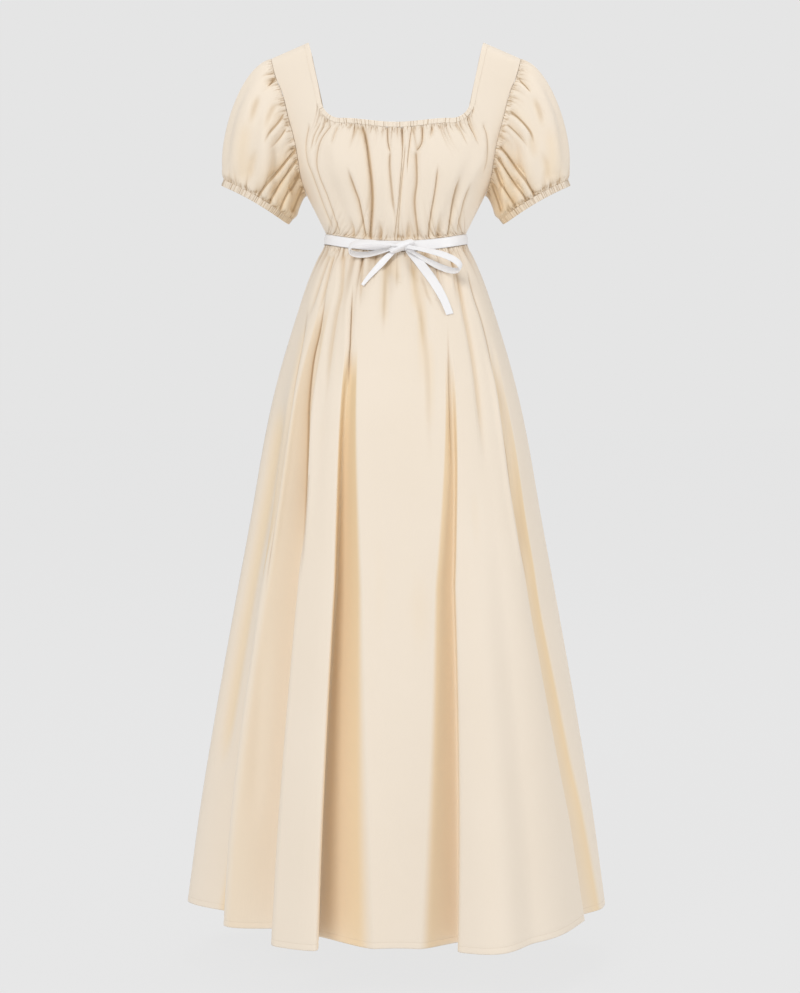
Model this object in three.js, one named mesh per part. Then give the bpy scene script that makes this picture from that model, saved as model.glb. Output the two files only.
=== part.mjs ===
// An empire-line maxi dress, filled out as it hangs when worn: a square neck, short puff sleeves, a
// gathered waist under the bust, a long full skirt and a narrow ribbon belt tied in a bow.
// Every piece of cloth is a closed wall. Millimetres, +Z up. The front faces -Y.
// The origin lies between the two shoulder seams, level with their middles, where the dress hangs.
import * as THREE from "three";

// ---------------------------------------------------------------- driving dimensions
const CLOTH = 1.6; // thickness of a cloth wall
const CASING = 2.6; // thickness of an elastic casing, two layers with elastic between
const RIBBON = 1.0; // thickness of the ribbon
const GAP = 0.3; // space between pieces at a seam
const SHOULDER_FALL = 26; // how far the shoulder seam falls from neck to sleeve
const STRAP_INNER = 137; // half width of the neck at the shoulder seam
const STRAP_OUTER = 197.5; // half width at the sleeve end of the shoulder seam
const NECK_DROP = 130; // depth of the square neck near its corners, front and back
const NECK_SAG = 7; // how much deeper it is at the centre
const NECK_ANGLE = 32.3; // where the strap's inner edge lies round the trunk, degrees
const NECK_FLARE = 2; // how much further out it lies at the shoulder, degrees
const NECK_RADIUS = 26; // radius of the neck's lower corners
const NECK_CASING = 8; // width of the casing round the neck
const WAIST_TOP = 303; // where the bodice ends at the side
const WAIST_DEEP = 17; // height of the waist casing
const WAIST_DIP = 16; // how much lower the waist lies at centre front
const HEM = 1373; // length from shoulder to hem
const CUFF_DEEP = 10; // height of a sleeve's casing
const SQUARE = 0.144; // how far a trunk section bulges past an ellipse at its corners
const DEGREE_WIDE = 3.2; // millimetres of cloth to one degree near the neck

// ---------------------------------------------------------------- the trunk form
// One row for each level: how far below the shoulder seam's neck end it lies, its half width, and
// how far it stands forward and back of the side seam.
const TRUNK = [
  { drop: 0, half: 224, front: 0, back: 0 },
  { drop: 5, half: 223, front: 24, back: 23 },
  { drop: 17, half: 221, front: 44, back: 42 },
  { drop: 46, half: 215, front: 62, back: 62 },
  { drop: 85, half: 203, front: 79, back: 78 },
  { drop: 123, half: 190, front: 93, back: 86 },
  { drop: 163, half: 173, front: 104, back: 91 },
  { drop: 203, half: 160, front: 110, back: 92 },
  { drop: 241, half: 141, front: 109, back: 90 },
  { drop: 275, half: 124, front: 102, back: 86 },
  { drop: WAIST_TOP, half: 110, front: 92, back: 80 },
];
// Where the armhole lies round the trunk at the first nine of those levels, degrees, how sharply it
// turns under the arm, and how the columns thin out there.
const ARMHOLE = [57.9, 57.7, 57.3, 56.7, 56.2, 58.2, 61.3, 67.5, 90];
const ARMHOLE_TURN = 44;
const ARMHOLE_EASE = 0.8;

// ---------------------------------------------------------------- the skirt form
const SKIRT = [
  { drop: WAIST_TOP + WAIST_DEEP, half: 112, front: 94, back: 82 },
  { drop: 350, half: 128, front: 111, back: 98 },
  { drop: 405, half: 149, front: 132, back: 119 },
  { drop: 525, half: 186, front: 168, back: 155 },
  { drop: 625, half: 209, front: 193, back: 180 },
  { drop: 755, half: 232, front: 220, back: 209 },
  { drop: 905, half: 260, front: 252, back: 242 },
  { drop: 1060, half: 288, front: 284, back: 275 },
  { drop: 1215, half: 314, front: 315, back: 306 },
  { drop: HEM, half: 336, front: 345, back: 336 },
];
// Its folds. Each is a valley: the angle of its floor at the waist, halfway and at the hem, then at
// the hem its half width in degrees, its depth, and how far its floor slides sideways under the
// neighbouring flap, and last the drop at which it opens.
const FOLDS = [
  { name: "outer left", waist: -52, middle: -60, hem: -70, wide: 8, deep: 22, lean: 8, opens: 425 },
  { name: "left", waist: -43, middle: -43, hem: -46, wide: 14.5, deep: 90, lean: 14, opens: 395 },
  { name: "left of centre", waist: -23, middle: -16.5, hem: -14, wide: 7, deep: 96, lean: -80, opens: 475 },
  { name: "right of centre", waist: 30, middle: 18.6, hem: 12.9, wide: 4.6, deep: 82, lean: 44, opens: 555 },
  { name: "outer right", waist: 56, middle: 54, hem: 73, wide: 9, deep: 14, lean: -10, opens: 475 },
  { name: "right, behind", waist: 104, middle: 106, hem: 108, wide: 7, deep: 52, lean: 24, opens: 395 },
  { name: "second behind", waist: 130, middle: 131, hem: 133, wide: 7, deep: 84, lean: -40, opens: 445 },
  { name: "third behind", waist: 152, middle: 156, hem: 158, wide: 5, deep: 60, lean: 24, opens: 375 },
  { name: "centre back", waist: 186, middle: 184, hem: 183, wide: 7, deep: 92, lean: 42, opens: 515 },
  { name: "fifth behind", waist: 212, middle: 211, hem: 210, wide: 6, deep: 58, lean: -26, opens: 395 },
  { name: "sixth behind", waist: 238, middle: 236, hem: 235, wide: 6, deep: 76, lean: 34, opens: 435 },
  { name: "left, behind", waist: 256, middle: 256, hem: 258, wide: 5, deep: 36, lean: -18, opens: 415 },
];
// Broad hollows between flaps, with their depth at the hem.
const HOLLOWS = [
  { name: "centre panel", at: 0, wide: 26, deep: 42 },
  { name: "left front corner", at: -70.5, wide: 20, deep: 66 },
  { name: "right front corner", at: 65, wide: 24, deep: 15 },
  { name: "right flap, which swells", at: 25, wide: 14, deep: -26 },
  { name: "right back corner", at: 120, wide: 20, deep: 30 },
  { name: "left back corner", at: 224, wide: 22, deep: 36 },
];
const FOLD_NARROW = 0.35; // a fold's width at the waist, as a share of that at the hem
const FOLD_EASE = 0.9; // how a fold deepens on the way down: 1 is evenly
const HOLLOW_EASE = 1.3; // the same for a hollow
const DIP_FADE = 0.3; // how far down the skirt the dip of the waist dies away, as a share
const VALLEY = [-1, -0.62, -0.25, 0.25, 0.62, 1]; // columns across a valley
const FLAP_STEP = 12; // widest step of columns between valleys, degrees at the hem
const WAIST_STEP = 16; // and at the waist

// ---------------------------------------------------------------- folds of the bodice
// Each is a trough: its angle at the waist and at the neck, its half width in degrees, its depth,
// and the drops between which it runs.
const CREASES = [
  { name: "left of centre", waist: -15, neck: -9, wide: 8, deep: 6, from: 145, to: 315 },
  { name: "right of centre", waist: 10, neck: 8, wide: 8, deep: 5, from: 145, to: 315 },
  { name: "under left strap", waist: -38, neck: -36, wide: 9, deep: 5, from: 145, to: 313 },
  { name: "under right strap", waist: 36, neck: 38, wide: 9, deep: 5, from: 155, to: 313 },
  { name: "behind, right", waist: 164, neck: 168, wide: 8, deep: 6, from: 145, to: 313 },
  { name: "behind, left", waist: 194, neck: 190, wide: 8, deep: 5, from: 150, to: 313 },
  { name: "right shoulder blade", waist: 140, neck: 142, wide: 9, deep: 5, from: 155, to: 313 },
  { name: "left shoulder blade", waist: 218, neck: 219, wide: 9, deep: 5, from: 155, to: 313 },
];
const CREASE_IN = 50; // how far down a crease takes to reach its depth
const CREASE_OUT = 30; // and to lose it
const FULLNESS = { angle: 34, drop: 195, wide: 34, tall: 66, proud: 11 }; // gathered front, each side

// ---------------------------------------------------------------- sleeves
// The loop where a puff sleeve meets its casing: its middle, tilt, and half widths, how far it
// arches up at front and back, and how much further it does so behind.
const CUFF = { x: 219, drop: 247, tilt: 30, across: 61.5, through: 45, arch: 5, behind: 4 };
// How the sleeve leaves the armhole and reaches the casing. It rises from the bodice by an angle at
// the shoulder and by more under the arm. The rest are shares of its length: how far it swells,
// how it comes down on the casing, and how it is gathered in, each on top and at front and back.
const PUFF = { rise: 12, more: 78, swell: [0.74, 1.25], down: 0.5, gather: [0.56, 0.8] };
const SLEEVE_FOLD = { in: 0.4, out: 0.35 }; // where along the sleeve its folds reach their depth
// Its folds, each a trough along the sleeve: how far round from the shoulder by the front, as a
// share of the whole way, its half width as a share, and its depth.
const SLEEVE_FOLDS = [
  { round: 0.09, wide: 0.06, deep: 6 },
  { round: 0.21, wide: 0.06, deep: 9 },
  { round: 0.33, wide: 0.06, deep: 11 },
  { round: 0.45, wide: 0.06, deep: 5 },
  { round: 0.62, wide: 0.06, deep: 7 },
  { round: 0.75, wide: 0.06, deep: 10 },
  { round: 0.9, wide: 0.06, deep: 6 },
];

// ---------------------------------------------------------------- the bow
const KNOT = { x: 9, drop: 328, across: 9, tall: 11, through: 7 };
// Each loop: how far it reaches sideways and falls, how far its two layers part, how far it leans
// back, and how far it stands off the skirt.
const LOOPS = [
  { name: "ribbon_loop_left", x: -77, fall: 18, part: 17, tilt: 42, off: 17, wide: 15 },
  { name: "ribbon_loop_right", x: 80, fall: 48, part: 22, tilt: 38, off: 18, wide: 15 },
];
// Each tail: where it leaves the knot, how far its tip lies sideways and down, its width, and how
// far it bends on the way.
const TAILS = [
  { name: "ribbon_tail_left", from: -4, x: -60, fall: 49, bend: -4, wide: 11 },
  { name: "ribbon_tail_right", from: 4, x: 75, fall: 94, bend: 7, wide: 14 },
];
const DRAWN = 6.5; // width of the ribbon where the knot grips it
const LOOP_OPENS = 0.7; // where a loop has its full width, as a share of the way out
const TAIL_OPENS = 0.4; // and a tail, as a share of its length
const TAIL_LIES = 0.35; // where a tail comes to lie on the skirt, as a share of its length
const LOOP_FORWARD = 4; // how far before the knot's middle the loops leave it
const TAIL_BEHIND = 3; // and how far behind it the tails do

// ---------------------------------------------------------------- helpers
const DEG = Math.PI / 180;
const vec = (x, y, z) => new THREE.Vector3(x, y, z);
const mix = (a, b, t) => a + (b - a) * t;
const clamp01 = (t) => Math.min(1, Math.max(0, t));
const smooth = (t) => clamp01(t) ** 2 * (3 - 2 * clamp01(t));
const steps = (count) => Array.from({ length: count + 1 }, (_, i) => i / count);
// 1 in the middle, dying away smoothly to 0 at -1 and 1.
const hump = (t) => (Math.abs(t) < 1 ? 0.5 + 0.5 * Math.cos(Math.PI * t) : 0);
// The difference between two angles, in degrees from -180 to 180.
const turn = (a, b) => ((((a - b + 180) % 360) + 360) % 360) - 180;

// A smooth curve through a list of numbers, read at a fractional place in the list.
function curve(values, place, startSlope, endSlope) {
  const last = values.length - 1;
  const i = Math.min(Math.floor(place), last - 1);
  const t = place - i;
  const slope = (k) => {
    if (k === 0) return startSlope ?? values[1] - values[0];
    if (k === last) return endSlope ?? values[last] - values[last - 1];
    return (values[k + 1] - values[k - 1]) / 2;
  };
  const value = values[i] * (1 + 2 * t) * (1 - t) ** 2 + values[i + 1] * t ** 2 * (3 - 2 * t);
  return value + slope(i) * t * (1 - t) ** 2 - slope(i + 1) * t ** 2 * (1 - t);
}
const column = (table, name) => table.map((row) => row[name]);
// The place, between low and high, where a rising function reaches a goal.
function reach(rising, goal, low, high) {
  for (let n = 0; n < 40; n++) {
    const middle = (low + high) / 2;
    if (rising(middle) < goal) low = middle;
    else high = middle;
  }
  return (low + high) / 2;
}

// A section's outline: an ellipse filled out towards its corners.
const across = (angle, square) => Math.sin(angle * DEG) * (1 + square * Math.cos(angle * DEG) ** 2);
const through = (angle, square) => Math.cos(angle * DEG) * (1 + square * Math.sin(angle * DEG) ** 2);
const isFront = (angle) => Math.cos(angle * DEG) >= 0;
const waistDip = (angle) => (isFront(angle) ? WAIST_DIP * Math.cos(angle * DEG) ** 2 : 0);

// ---------------------------------------------------------------- the bodice surface
const trunkDrops = column(TRUNK, "drop");
const trunkDrop = (row) => curve(trunkDrops, row, 0);
const trunkRow = (drop) => reach(trunkDrop, drop, 0, TRUNK.length - 1);
const WAIST_ROW = TRUNK.length - 1;
const UNDERARM_ROW = ARMHOLE.length - 1;
const armholeAngle = (row) => curve(ARMHOLE, row, 0, ARMHOLE_TURN);

// A point of the bodice, at an angle round the trunk and a fractional row down its table. At row 0
// the surface is level, so that front and back meet in a rounded shoulder.
function bodicePoint(angle, row) {
  const depths = column(TRUNK, isFront(angle) ? "front" : "back");
  const drop = trunkDrop(row);
  let x = curve(column(TRUNK, "half"), row) * across(angle, SQUARE);
  let y = -curve(depths, row, depths[1]) * through(angle, SQUARE);
  const from = Math.hypot(x, y);
  const full = hump((Math.abs(turn(angle, 0)) - FULLNESS.angle) / FULLNESS.wide);
  let proud = FULLNESS.proud * full * hump((drop - FULLNESS.drop) / FULLNESS.tall);
  for (const crease of CREASES) {
    const down = clamp01((drop - NECK_DROP) / (WAIST_TOP - NECK_DROP));
    const off = turn(angle, mix(crease.neck, crease.waist, down)) / crease.wide;
    const along = smooth((drop - crease.from) / CREASE_IN) * smooth((crease.to - drop) / CREASE_OUT);
    proud -= crease.deep * hump(off) * along;
  }
  x *= 1 + proud / from;
  y *= 1 + proud / from;
  const fall = (SHOULDER_FALL * (Math.abs(x) - STRAP_INNER)) / (STRAP_OUTER - STRAP_INNER);
  const seam = fall * (1 - smooth(drop / NECK_DROP));
  const dip = waistDip(angle) * smooth((drop - NECK_DROP) / (WAIST_TOP - NECK_DROP));
  return vec(x, y, SHOULDER_FALL / 2 - drop - seam - dip);
}

// The neck's edge, set back by a margin, from centre front (0) round the corner to the shoulder
// (1): an angle and a row.
const NECK_SPANS = { bottom: 11, corner: 4, strap: 9 }; // columns along each stretch
const HALF_COLUMNS = NECK_SPANS.bottom + NECK_SPANS.corner + NECK_SPANS.strap;
const NECK_TURN = [NECK_SPANS.bottom / HALF_COLUMNS, 1 - NECK_SPANS.strap / HALF_COLUMNS];
function neckEdge(s, margin) {
  const radius = NECK_RADIUS + margin;
  const middle = { angle: NECK_ANGLE - NECK_RADIUS / DEGREE_WIDE, drop: NECK_DROP - NECK_RADIUS };
  if (s <= NECK_TURN[0]) {
    const out = s / NECK_TURN[0];
    const sag = NECK_SAG * Math.cos((out * Math.PI) / 2) ** 2;
    return { angle: middle.angle * out, row: trunkRow(middle.drop + radius + sag) };
  }
  const round = clamp01((s - NECK_TURN[0]) / (NECK_TURN[1] - NECK_TURN[0])) * (Math.PI / 2);
  const angle = middle.angle + (radius / DEGREE_WIDE) * Math.sin(round);
  const up = clamp01((s - NECK_TURN[1]) / (1 - NECK_TURN[1]));
  const row = trunkRow(middle.drop + radius * Math.cos(round)) * (1 - up);
  return { angle: angle + NECK_FLARE * smooth(up), row };
}
// The opposite edge of a panel: half the waist, the side seam, then the armhole.
const OUTER_SPANS = { waist: 10, side: 2, armhole: 12 };
const OUTER_TURN = [OUTER_SPANS.waist / HALF_COLUMNS, 1 - OUTER_SPANS.armhole / HALF_COLUMNS];
// The row of the armhole's edge, from the underarm (0) to the shoulder (1).
const armholeRow = (up) => UNDERARM_ROW * (1 - up) ** ARMHOLE_EASE;
function outerEdge(s) {
  if (s <= OUTER_TURN[0]) return { angle: (90 * s) / OUTER_TURN[0], row: WAIST_ROW };
  if (s <= OUTER_TURN[1]) {
    const up = (s - OUTER_TURN[0]) / (OUTER_TURN[1] - OUTER_TURN[0]);
    return { angle: 90, row: mix(WAIST_ROW, UNDERARM_ROW, up) };
  }
  const row = armholeRow(clamp01((s - OUTER_TURN[1]) / (1 - OUTER_TURN[1])));
  return { angle: armholeAngle(row), row };
}
// Turns a place on the right half of the front into the matching angle on any quarter.
const onSide = (angle, side, back) => (back ? 180 - side * angle : side * angle);

// ---------------------------------------------------------------- the skirt surface
const skirtDrops = column(SKIRT, "drop");
const HEM_ROW = SKIRT.length - 1;
const skirtShare = (drop) => (drop - skirtDrops[0]) / (HEM - skirtDrops[0]);
function foldAt(fold, row) {
  const drop = curve(skirtDrops, row);
  const share = skirtShare(drop);
  const [low, high, t] = share < 0.5 ? ["waist", "middle", share * 2] : ["middle", "hem", share * 2 - 1];
  return {
    floor: mix(fold[low], fold[high], t),
    wide: fold.wide * mix(FOLD_NARROW, 1, share),
    open: clamp01((drop - fold.opens) / (HEM - fold.opens)) ** FOLD_EASE,
  };
}
function skirtPoint(angle, row) {
  const drop = curve(skirtDrops, row);
  const share = skirtShare(drop);
  const square = SQUARE * (1 - share);
  const x = curve(column(SKIRT, "half"), row) * across(angle, square);
  const y = -curve(column(SKIRT, isFront(angle) ? "front" : "back"), row) * through(angle, square);
  const out = vec(x, y, 0).normalize();
  let inward = 0;
  let sideways = 0;
  for (const fold of FOLDS) {
    const { floor, wide, open } = foldAt(fold, row);
    const valley = open * hump(turn(angle, floor) / wide);
    inward += fold.deep * valley;
    sideways += fold.lean * valley;
  }
  for (const hollow of HOLLOWS) {
    inward += hollow.deep * share ** HOLLOW_EASE * hump(turn(angle, hollow.at) / hollow.wide);
  }
  const dip = waistDip(angle) * (1 - smooth(share / DIP_FADE));
  return vec(
    x - inward * out.x - sideways * out.y,
    y - inward * out.y + sideways * out.x,
    SHOULDER_FALL / 2 - drop - dip,
  );
}

// ---------------------------------------------------------------- walls
// The outer direction at each point of a grid whose columns run with the angle and whose rows run
// down. A ring's last column meets its first.
function directions(points, ring) {
  const cols = points[0].length;
  return points.map((line, r) =>
    line.map((_, c) => {
      const above = points[Math.max(r - 1, 0)][c];
      const below = points[Math.min(r + 1, points.length - 1)][c];
      const before = line[ring ? (c + cols - 1) % cols : Math.max(c - 1, 0)];
      const after = line[ring ? (c + 1) % cols : Math.min(c + 1, cols - 1)];
      return below.clone().sub(above).cross(after.clone().sub(before)).normalize();
    }),
  );
}

// A closed wall on both sides of a grid of points. An edge that meets another piece is squared off
// by square(direction, row, column).
function wall(points, thick, { ring = false, square = () => {} } = {}) {
  const rows = points.length;
  const cols = points[0].length;
  const out = directions(points, ring);
  out.forEach((line, r) => line.forEach((direction, c) => square(direction, r, c)));
  const vertices = [];
  for (const side of [thick / 2, -thick / 2]) {
    points.forEach((line, r) =>
      line.forEach((p, c) => {
        const direction = out[r][c].normalize();
        vertices.push(...p.clone().addScaledVector(direction, side));
      }),
    );
  }
  const id = (inner, r, c) => (inner * rows + r) * cols + (c % cols);
  const faces = [];
  const quad = (a, b, c, d) => faces.push(a, b, c, a, c, d);
  const spans = ring ? cols : cols - 1;
  for (let c = 0; c < spans; c++) {
    for (let r = 0; r < rows - 1; r++) {
      quad(id(0, r, c), id(0, r + 1, c), id(0, r + 1, c + 1), id(0, r, c + 1));
      quad(id(1, r, c), id(1, r, c + 1), id(1, r + 1, c + 1), id(1, r + 1, c));
    }
    quad(id(0, 0, c), id(0, 0, c + 1), id(1, 0, c + 1), id(1, 0, c));
    quad(id(0, rows - 1, c + 1), id(0, rows - 1, c), id(1, rows - 1, c), id(1, rows - 1, c + 1));
  }
  for (let r = 0; !ring && r < rows - 1; r++) {
    quad(id(0, r + 1, 0), id(0, r, 0), id(1, r, 0), id(1, r + 1, 0));
    quad(id(0, r, cols - 1), id(0, r + 1, cols - 1), id(1, r + 1, cols - 1), id(1, r, cols - 1));
  }
  const geometry = new THREE.BufferGeometry();
  geometry.setAttribute("position", new THREE.Float32BufferAttribute(vertices, 3));
  geometry.setIndex(faces);
  geometry.computeVertexNormals();
  return geometry;
}

// ---------------------------------------------------------------- the dress
const CREAM = { color: 0xeedfc8, roughness: 0.7, metalness: 0 };
const WHITE = { color: 0xf1f0f2, roughness: 0.4, metalness: 0 };
const dress = new THREE.Group();
function addPiece(name, geometry, finish) {
  const mesh = new THREE.Mesh(geometry, new THREE.MeshStandardMaterial(finish));
  mesh.name = name;
  dress.add(mesh);
}

// ---------------------------------------------------------------- bodice panels
// A panel's columns run from the neck's edge out to the waist, side seam and armhole.
const PANEL_ROWS = 5;
const PANEL_EASE = 1.4; // how much sooner a column drops than it turns, to pass below the armhole
// Column numbers, negative on the wearer's right, in the order of rising angle.
function columnNumbers(back) {
  const numbers = Array.from({ length: 2 * HALF_COLUMNS + 1 }, (_, i) => i - HALF_COLUMNS);
  return back ? numbers.reverse() : numbers;
}
function bodicePanel(back) {
  const apart = vec(0, back ? GAP / 2 : -GAP / 2, 0);
  const numbers = columnNumbers(back);
  const points = steps(PANEL_ROWS).map((r) =>
    numbers.map((k) => {
      const s = Math.abs(k) / HALF_COLUMNS;
      const inner = neckEdge(s, NECK_CASING + GAP);
      const outer = outerEdge(s);
      const angle = onSide(mix(inner.angle, outer.angle, r), Math.sign(k), back);
      const row = mix(inner.row, outer.row, 1 - (1 - r) ** PANEL_EASE);
      return bodicePoint(angle, row).add(apart);
    }),
  );
  const square = (direction, r, c) => {
    const k = Math.abs(numbers[c]);
    const atEdge = r === PANEL_ROWS;
    if (atEdge && k <= OUTER_SPANS.waist) direction.z = 0;
    if (atEdge && k >= OUTER_SPANS.waist && k <= OUTER_SPANS.waist + OUTER_SPANS.side) direction.y = 0;
    if (k === HALF_COLUMNS) direction.y = 0;
  };
  return wall(points, CLOTH, { square });
}
addPiece("bodice_front", bodicePanel(false), CREAM);
addPiece("bodice_back", bodicePanel(true), CREAM);

function neckCasing() {
  const places = [false, true].flatMap((back) =>
    columnNumbers(back)
      .slice(0, -1)
      .map((k) => ({ k, back })),
  );
  const points = [0, NECK_CASING].map((margin) =>
    places.map(({ k, back }) => {
      const { angle, row } = neckEdge(Math.abs(k) / HALF_COLUMNS, margin);
      return bodicePoint(onSide(angle, Math.sign(k), back), row);
    }),
  );
  return wall(points, CASING, { ring: true });
}
addPiece("neck_casing", neckCasing(), CREAM);

// ---------------------------------------------------------------- waist casing and ribbon band
const WAIST_COLUMNS = 36;
const level = (direction) => {
  direction.z = 0;
};
function waistRing(from, to, out, thick) {
  const angles = steps(WAIST_COLUMNS).slice(0, -1).map((t) => 360 * t);
  const points = [from, to].map((drop) =>
    angles.map((angle) => {
      const share = (drop - WAIST_TOP) / WAIST_DEEP;
      const half = mix(TRUNK[WAIST_ROW].half, SKIRT[0].half, share) + out;
      const side = isFront(angle) ? "front" : "back";
      const depth = mix(TRUNK[WAIST_ROW][side], SKIRT[0][side], share) + out;
      const z = SHOULDER_FALL / 2 - drop - waistDip(angle);
      return vec(half * across(angle, SQUARE), -depth * through(angle, SQUARE), z);
    }),
  );
  return wall(points, thick, { ring: true, square: level });
}
const WAIST_BOTTOM = WAIST_TOP + WAIST_DEEP;
addPiece("waist_casing", waistRing(WAIST_TOP + GAP, WAIST_BOTTOM - GAP, 0, CASING), CREAM);
const BAND_OUT = CASING / 2 + GAP + RIBBON / 2;
addPiece("ribbon_band", waistRing(WAIST_TOP + GAP, WAIST_BOTTOM - GAP, BAND_OUT, RIBBON), WHITE);

// ---------------------------------------------------------------- skirt panels
// The columns of a panel between two seams: some on each valley, and even ones on the flaps
// between. Each is a function that gives its angle at a row.
function skirtColumns(from, to) {
  const guides = [() => from];
  for (const fold of FOLDS.filter((f) => f.hem > from && f.hem < to)) {
    for (const off of VALLEY) {
      guides.push((row) => {
        const { floor, wide } = foldAt(fold, row);
        return floor + off * wide;
      });
    }
  }
  guides.push(() => to);
  return guides.flatMap((guide, i) => {
    if (i === 0) return [guide];
    const before = guides[i - 1];
    const atHem = (guide(HEM_ROW) - before(HEM_ROW)) / FLAP_STEP;
    const atWaist = (guide(0) - before(0)) / WAIST_STEP;
    const count = Math.ceil(Math.max(atHem, atWaist));
    return steps(count)
      .slice(1)
      .map((t) => (row) => mix(before(row), guide(row), t));
  });
}
function skirtPanel(from, to, apart) {
  const columns = skirtColumns(from, to);
  const points = SKIRT.map((_, row) =>
    columns.map((angleAt) => skirtPoint(angleAt(row), row).add(vec(0, apart, 0))),
  );
  const square = (direction, r, c) => {
    if (c === 0 || c === columns.length - 1) direction.y = 0;
    if (r === 0) direction.z = 0;
  };
  return wall(points, CLOTH, { square });
}
addPiece("skirt_front", skirtPanel(-90, 90, -GAP / 2), CREAM);
addPiece("skirt_back", skirtPanel(90, 270, GAP / 2), CREAM);

// ---------------------------------------------------------------- sleeves
const SLEEVE_COLUMNS = 2 * OUTER_SPANS.armhole;
const SLEEVE_ROWS = 6;
const ARMHOLE_MIDDLE = vec(200, 0, -120);
const CUFF_AXIS = vec(Math.sin(CUFF.tilt * DEG), 0, -Math.cos(CUFF.tilt * DEG));
const CUFF_SPREAD = vec(Math.cos(CUFF.tilt * DEG), 0, Math.sin(CUFF.tilt * DEG));

// The armhole seam of the right sleeve, from the shoulder (0) by the front to the underarm (0.5)
// and back up behind: the point, the cloth's outer direction there, and the direction into the hole.
function armholeSeam(round) {
  const share = (u) => {
    const row = armholeRow(Math.abs(2 * Math.abs(u) - 1));
    return { angle: onSide(armholeAngle(row), 1, u > 0.5 || u < 0), row };
  };
  const at = (u) => {
    const { angle, row } = share(u);
    return bodicePoint(angle, row);
  };
  const { angle, row } = share(round);
  const down = bodicePoint(angle, row + 0.02).sub(bodicePoint(angle, Math.max(row - 0.02, 0)));
  const around = bodicePoint(angle + 0.2, row).sub(bodicePoint(angle - 0.2, row));
  const out = down.cross(around).normalize();
  const along = at(round + 0.004).sub(at(round - 0.004));
  const into = along.cross(out).normalize();
  const point = at(round);
  if (into.dot(ARMHOLE_MIDDLE.clone().sub(point)) < 0) into.negate();
  return { point, out, into };
}
// The loop that the casing holds, from its outer end by the front.
function cuffLoop(round) {
  const turned = 2 * Math.PI * round;
  const outward = CUFF_SPREAD.clone().multiplyScalar(CUFF.across * Math.cos(turned));
  outward.y = -CUFF.through * Math.sin(turned);
  const up = CUFF.arch * Math.sin(turned) ** 2 - CUFF.behind * Math.sin(turned);
  const point = vec(CUFF.x, 0, SHOULDER_FALL / 2 - CUFF.drop).add(outward);
  point.addScaledVector(CUFF_AXIS, -up);
  return { point, outward: outward.normalize() };
}
// A point of the right sleeve: a curve that leaves the armhole, swells, and is drawn in by the cuff.
function sleevePoint(round, along) {
  const seam = armholeSeam(round);
  const cuff = cuffLoop(round);
  const under = Math.sin(Math.PI * round);
  const rise = (PUFF.rise + PUFF.more * under) * DEG;
  const leaves = seam.into.clone().multiplyScalar(Math.cos(rise)).addScaledVector(seam.out, Math.sin(rise));
  const start = seam.point.clone().addScaledVector(leaves, GAP + (CLOTH / 2) * Math.sin(rise));
  const length = start.distanceTo(cuff.point);
  const side = Math.sin(2 * Math.PI * round) ** 2;
  const swell = leaves.clone().multiplyScalar(length * mix(...PUFF.swell, side));
  const drawn = CUFF_AXIS.clone()
    .multiplyScalar(PUFF.down * length)
    .addScaledVector(cuff.outward, -length * mix(...PUFF.gather, side));
  const [t, t2, t3] = [along, along ** 2, along ** 3];
  const point = start.multiplyScalar(2 * t3 - 3 * t2 + 1);
  point.addScaledVector(cuff.point, 3 * t2 - 2 * t3);
  point.addScaledVector(swell, t3 - 2 * t2 + t);
  point.addScaledVector(drawn, t3 - t2);
  let inward = 0;
  for (const fold of SLEEVE_FOLDS) inward += fold.deep * hump((round - fold.round) / fold.wide);
  inward *= smooth(t / SLEEVE_FOLD.in) * smooth((1 - t) / SLEEVE_FOLD.out);
  return point.addScaledVector(cuff.outward, -inward);
}
const mirrored = (points, side) =>
  side > 0 ? points : points.map((line) => line.map((p) => vec(-p.x, p.y, p.z)).reverse());
function sleeve(side) {
  const rounds = steps(SLEEVE_COLUMNS).slice(0, -1).reverse();
  const points = steps(SLEEVE_ROWS).map((t) => rounds.map((round) => sleevePoint(round, t)));
  const inPlane = (direction, r) => {
    const axis = vec(side * CUFF_AXIS.x, 0, CUFF_AXIS.z);
    if (r === SLEEVE_ROWS) direction.addScaledVector(axis, -direction.dot(axis));
  };
  return wall(mirrored(points, side), CLOTH, { ring: true, square: inPlane });
}
function cuffCasing(side) {
  const rounds = steps(SLEEVE_COLUMNS).slice(0, -1).reverse();
  const points = [GAP, GAP + CUFF_DEEP].map((along) =>
    rounds.map((round) => cuffLoop(round).point.addScaledVector(CUFF_AXIS, along)),
  );
  return wall(mirrored(points, side), CASING, { ring: true });
}
for (const [name, side] of [["left", -1], ["right", 1]]) {
  addPiece(`sleeve_${name}`, sleeve(side), CREAM);
  addPiece(`cuff_${name}`, cuffCasing(side), CREAM);
}

// ---------------------------------------------------------------- the bow
// A point over the front of the skirt at a side distance and a height, moved out, with the cloth's
// outer direction there. It is reached in small moves, each a cautious share of what is missing.
const MM_PER_DEGREE = 4;
const MM_PER_ROW = 60;
function onFront(x, z, out) {
  let angle = 0;
  let row = 0;
  for (let n = 0; n < 40; n++) {
    const p = skirtPoint(angle, row);
    angle += (x - p.x) / MM_PER_DEGREE;
    row = Math.min(HEM_ROW, Math.max(0, row + (p.z - z) / MM_PER_ROW));
  }
  const p = skirtPoint(angle, row);
  const down = skirtPoint(angle, row + 0.1).sub(p);
  const around = skirtPoint(angle + 1, row).sub(p);
  const direction = down.cross(around).normalize();
  return { point: vec(p.x, p.y, z).addScaledVector(direction, out), direction };
}
const bandFront = -(SKIRT[0].front + BAND_OUT + RIBBON / 2);
const knotMiddle = vec(KNOT.x, bandFront - GAP - KNOT.through, SHOULDER_FALL / 2 - KNOT.drop);
const knot = new THREE.SphereGeometry(1, 10, 7);
knot.scale(KNOT.across, KNOT.through, KNOT.tall);
knot.translate(knotMiddle.x, knotMiddle.y, knotMiddle.z);
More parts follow.
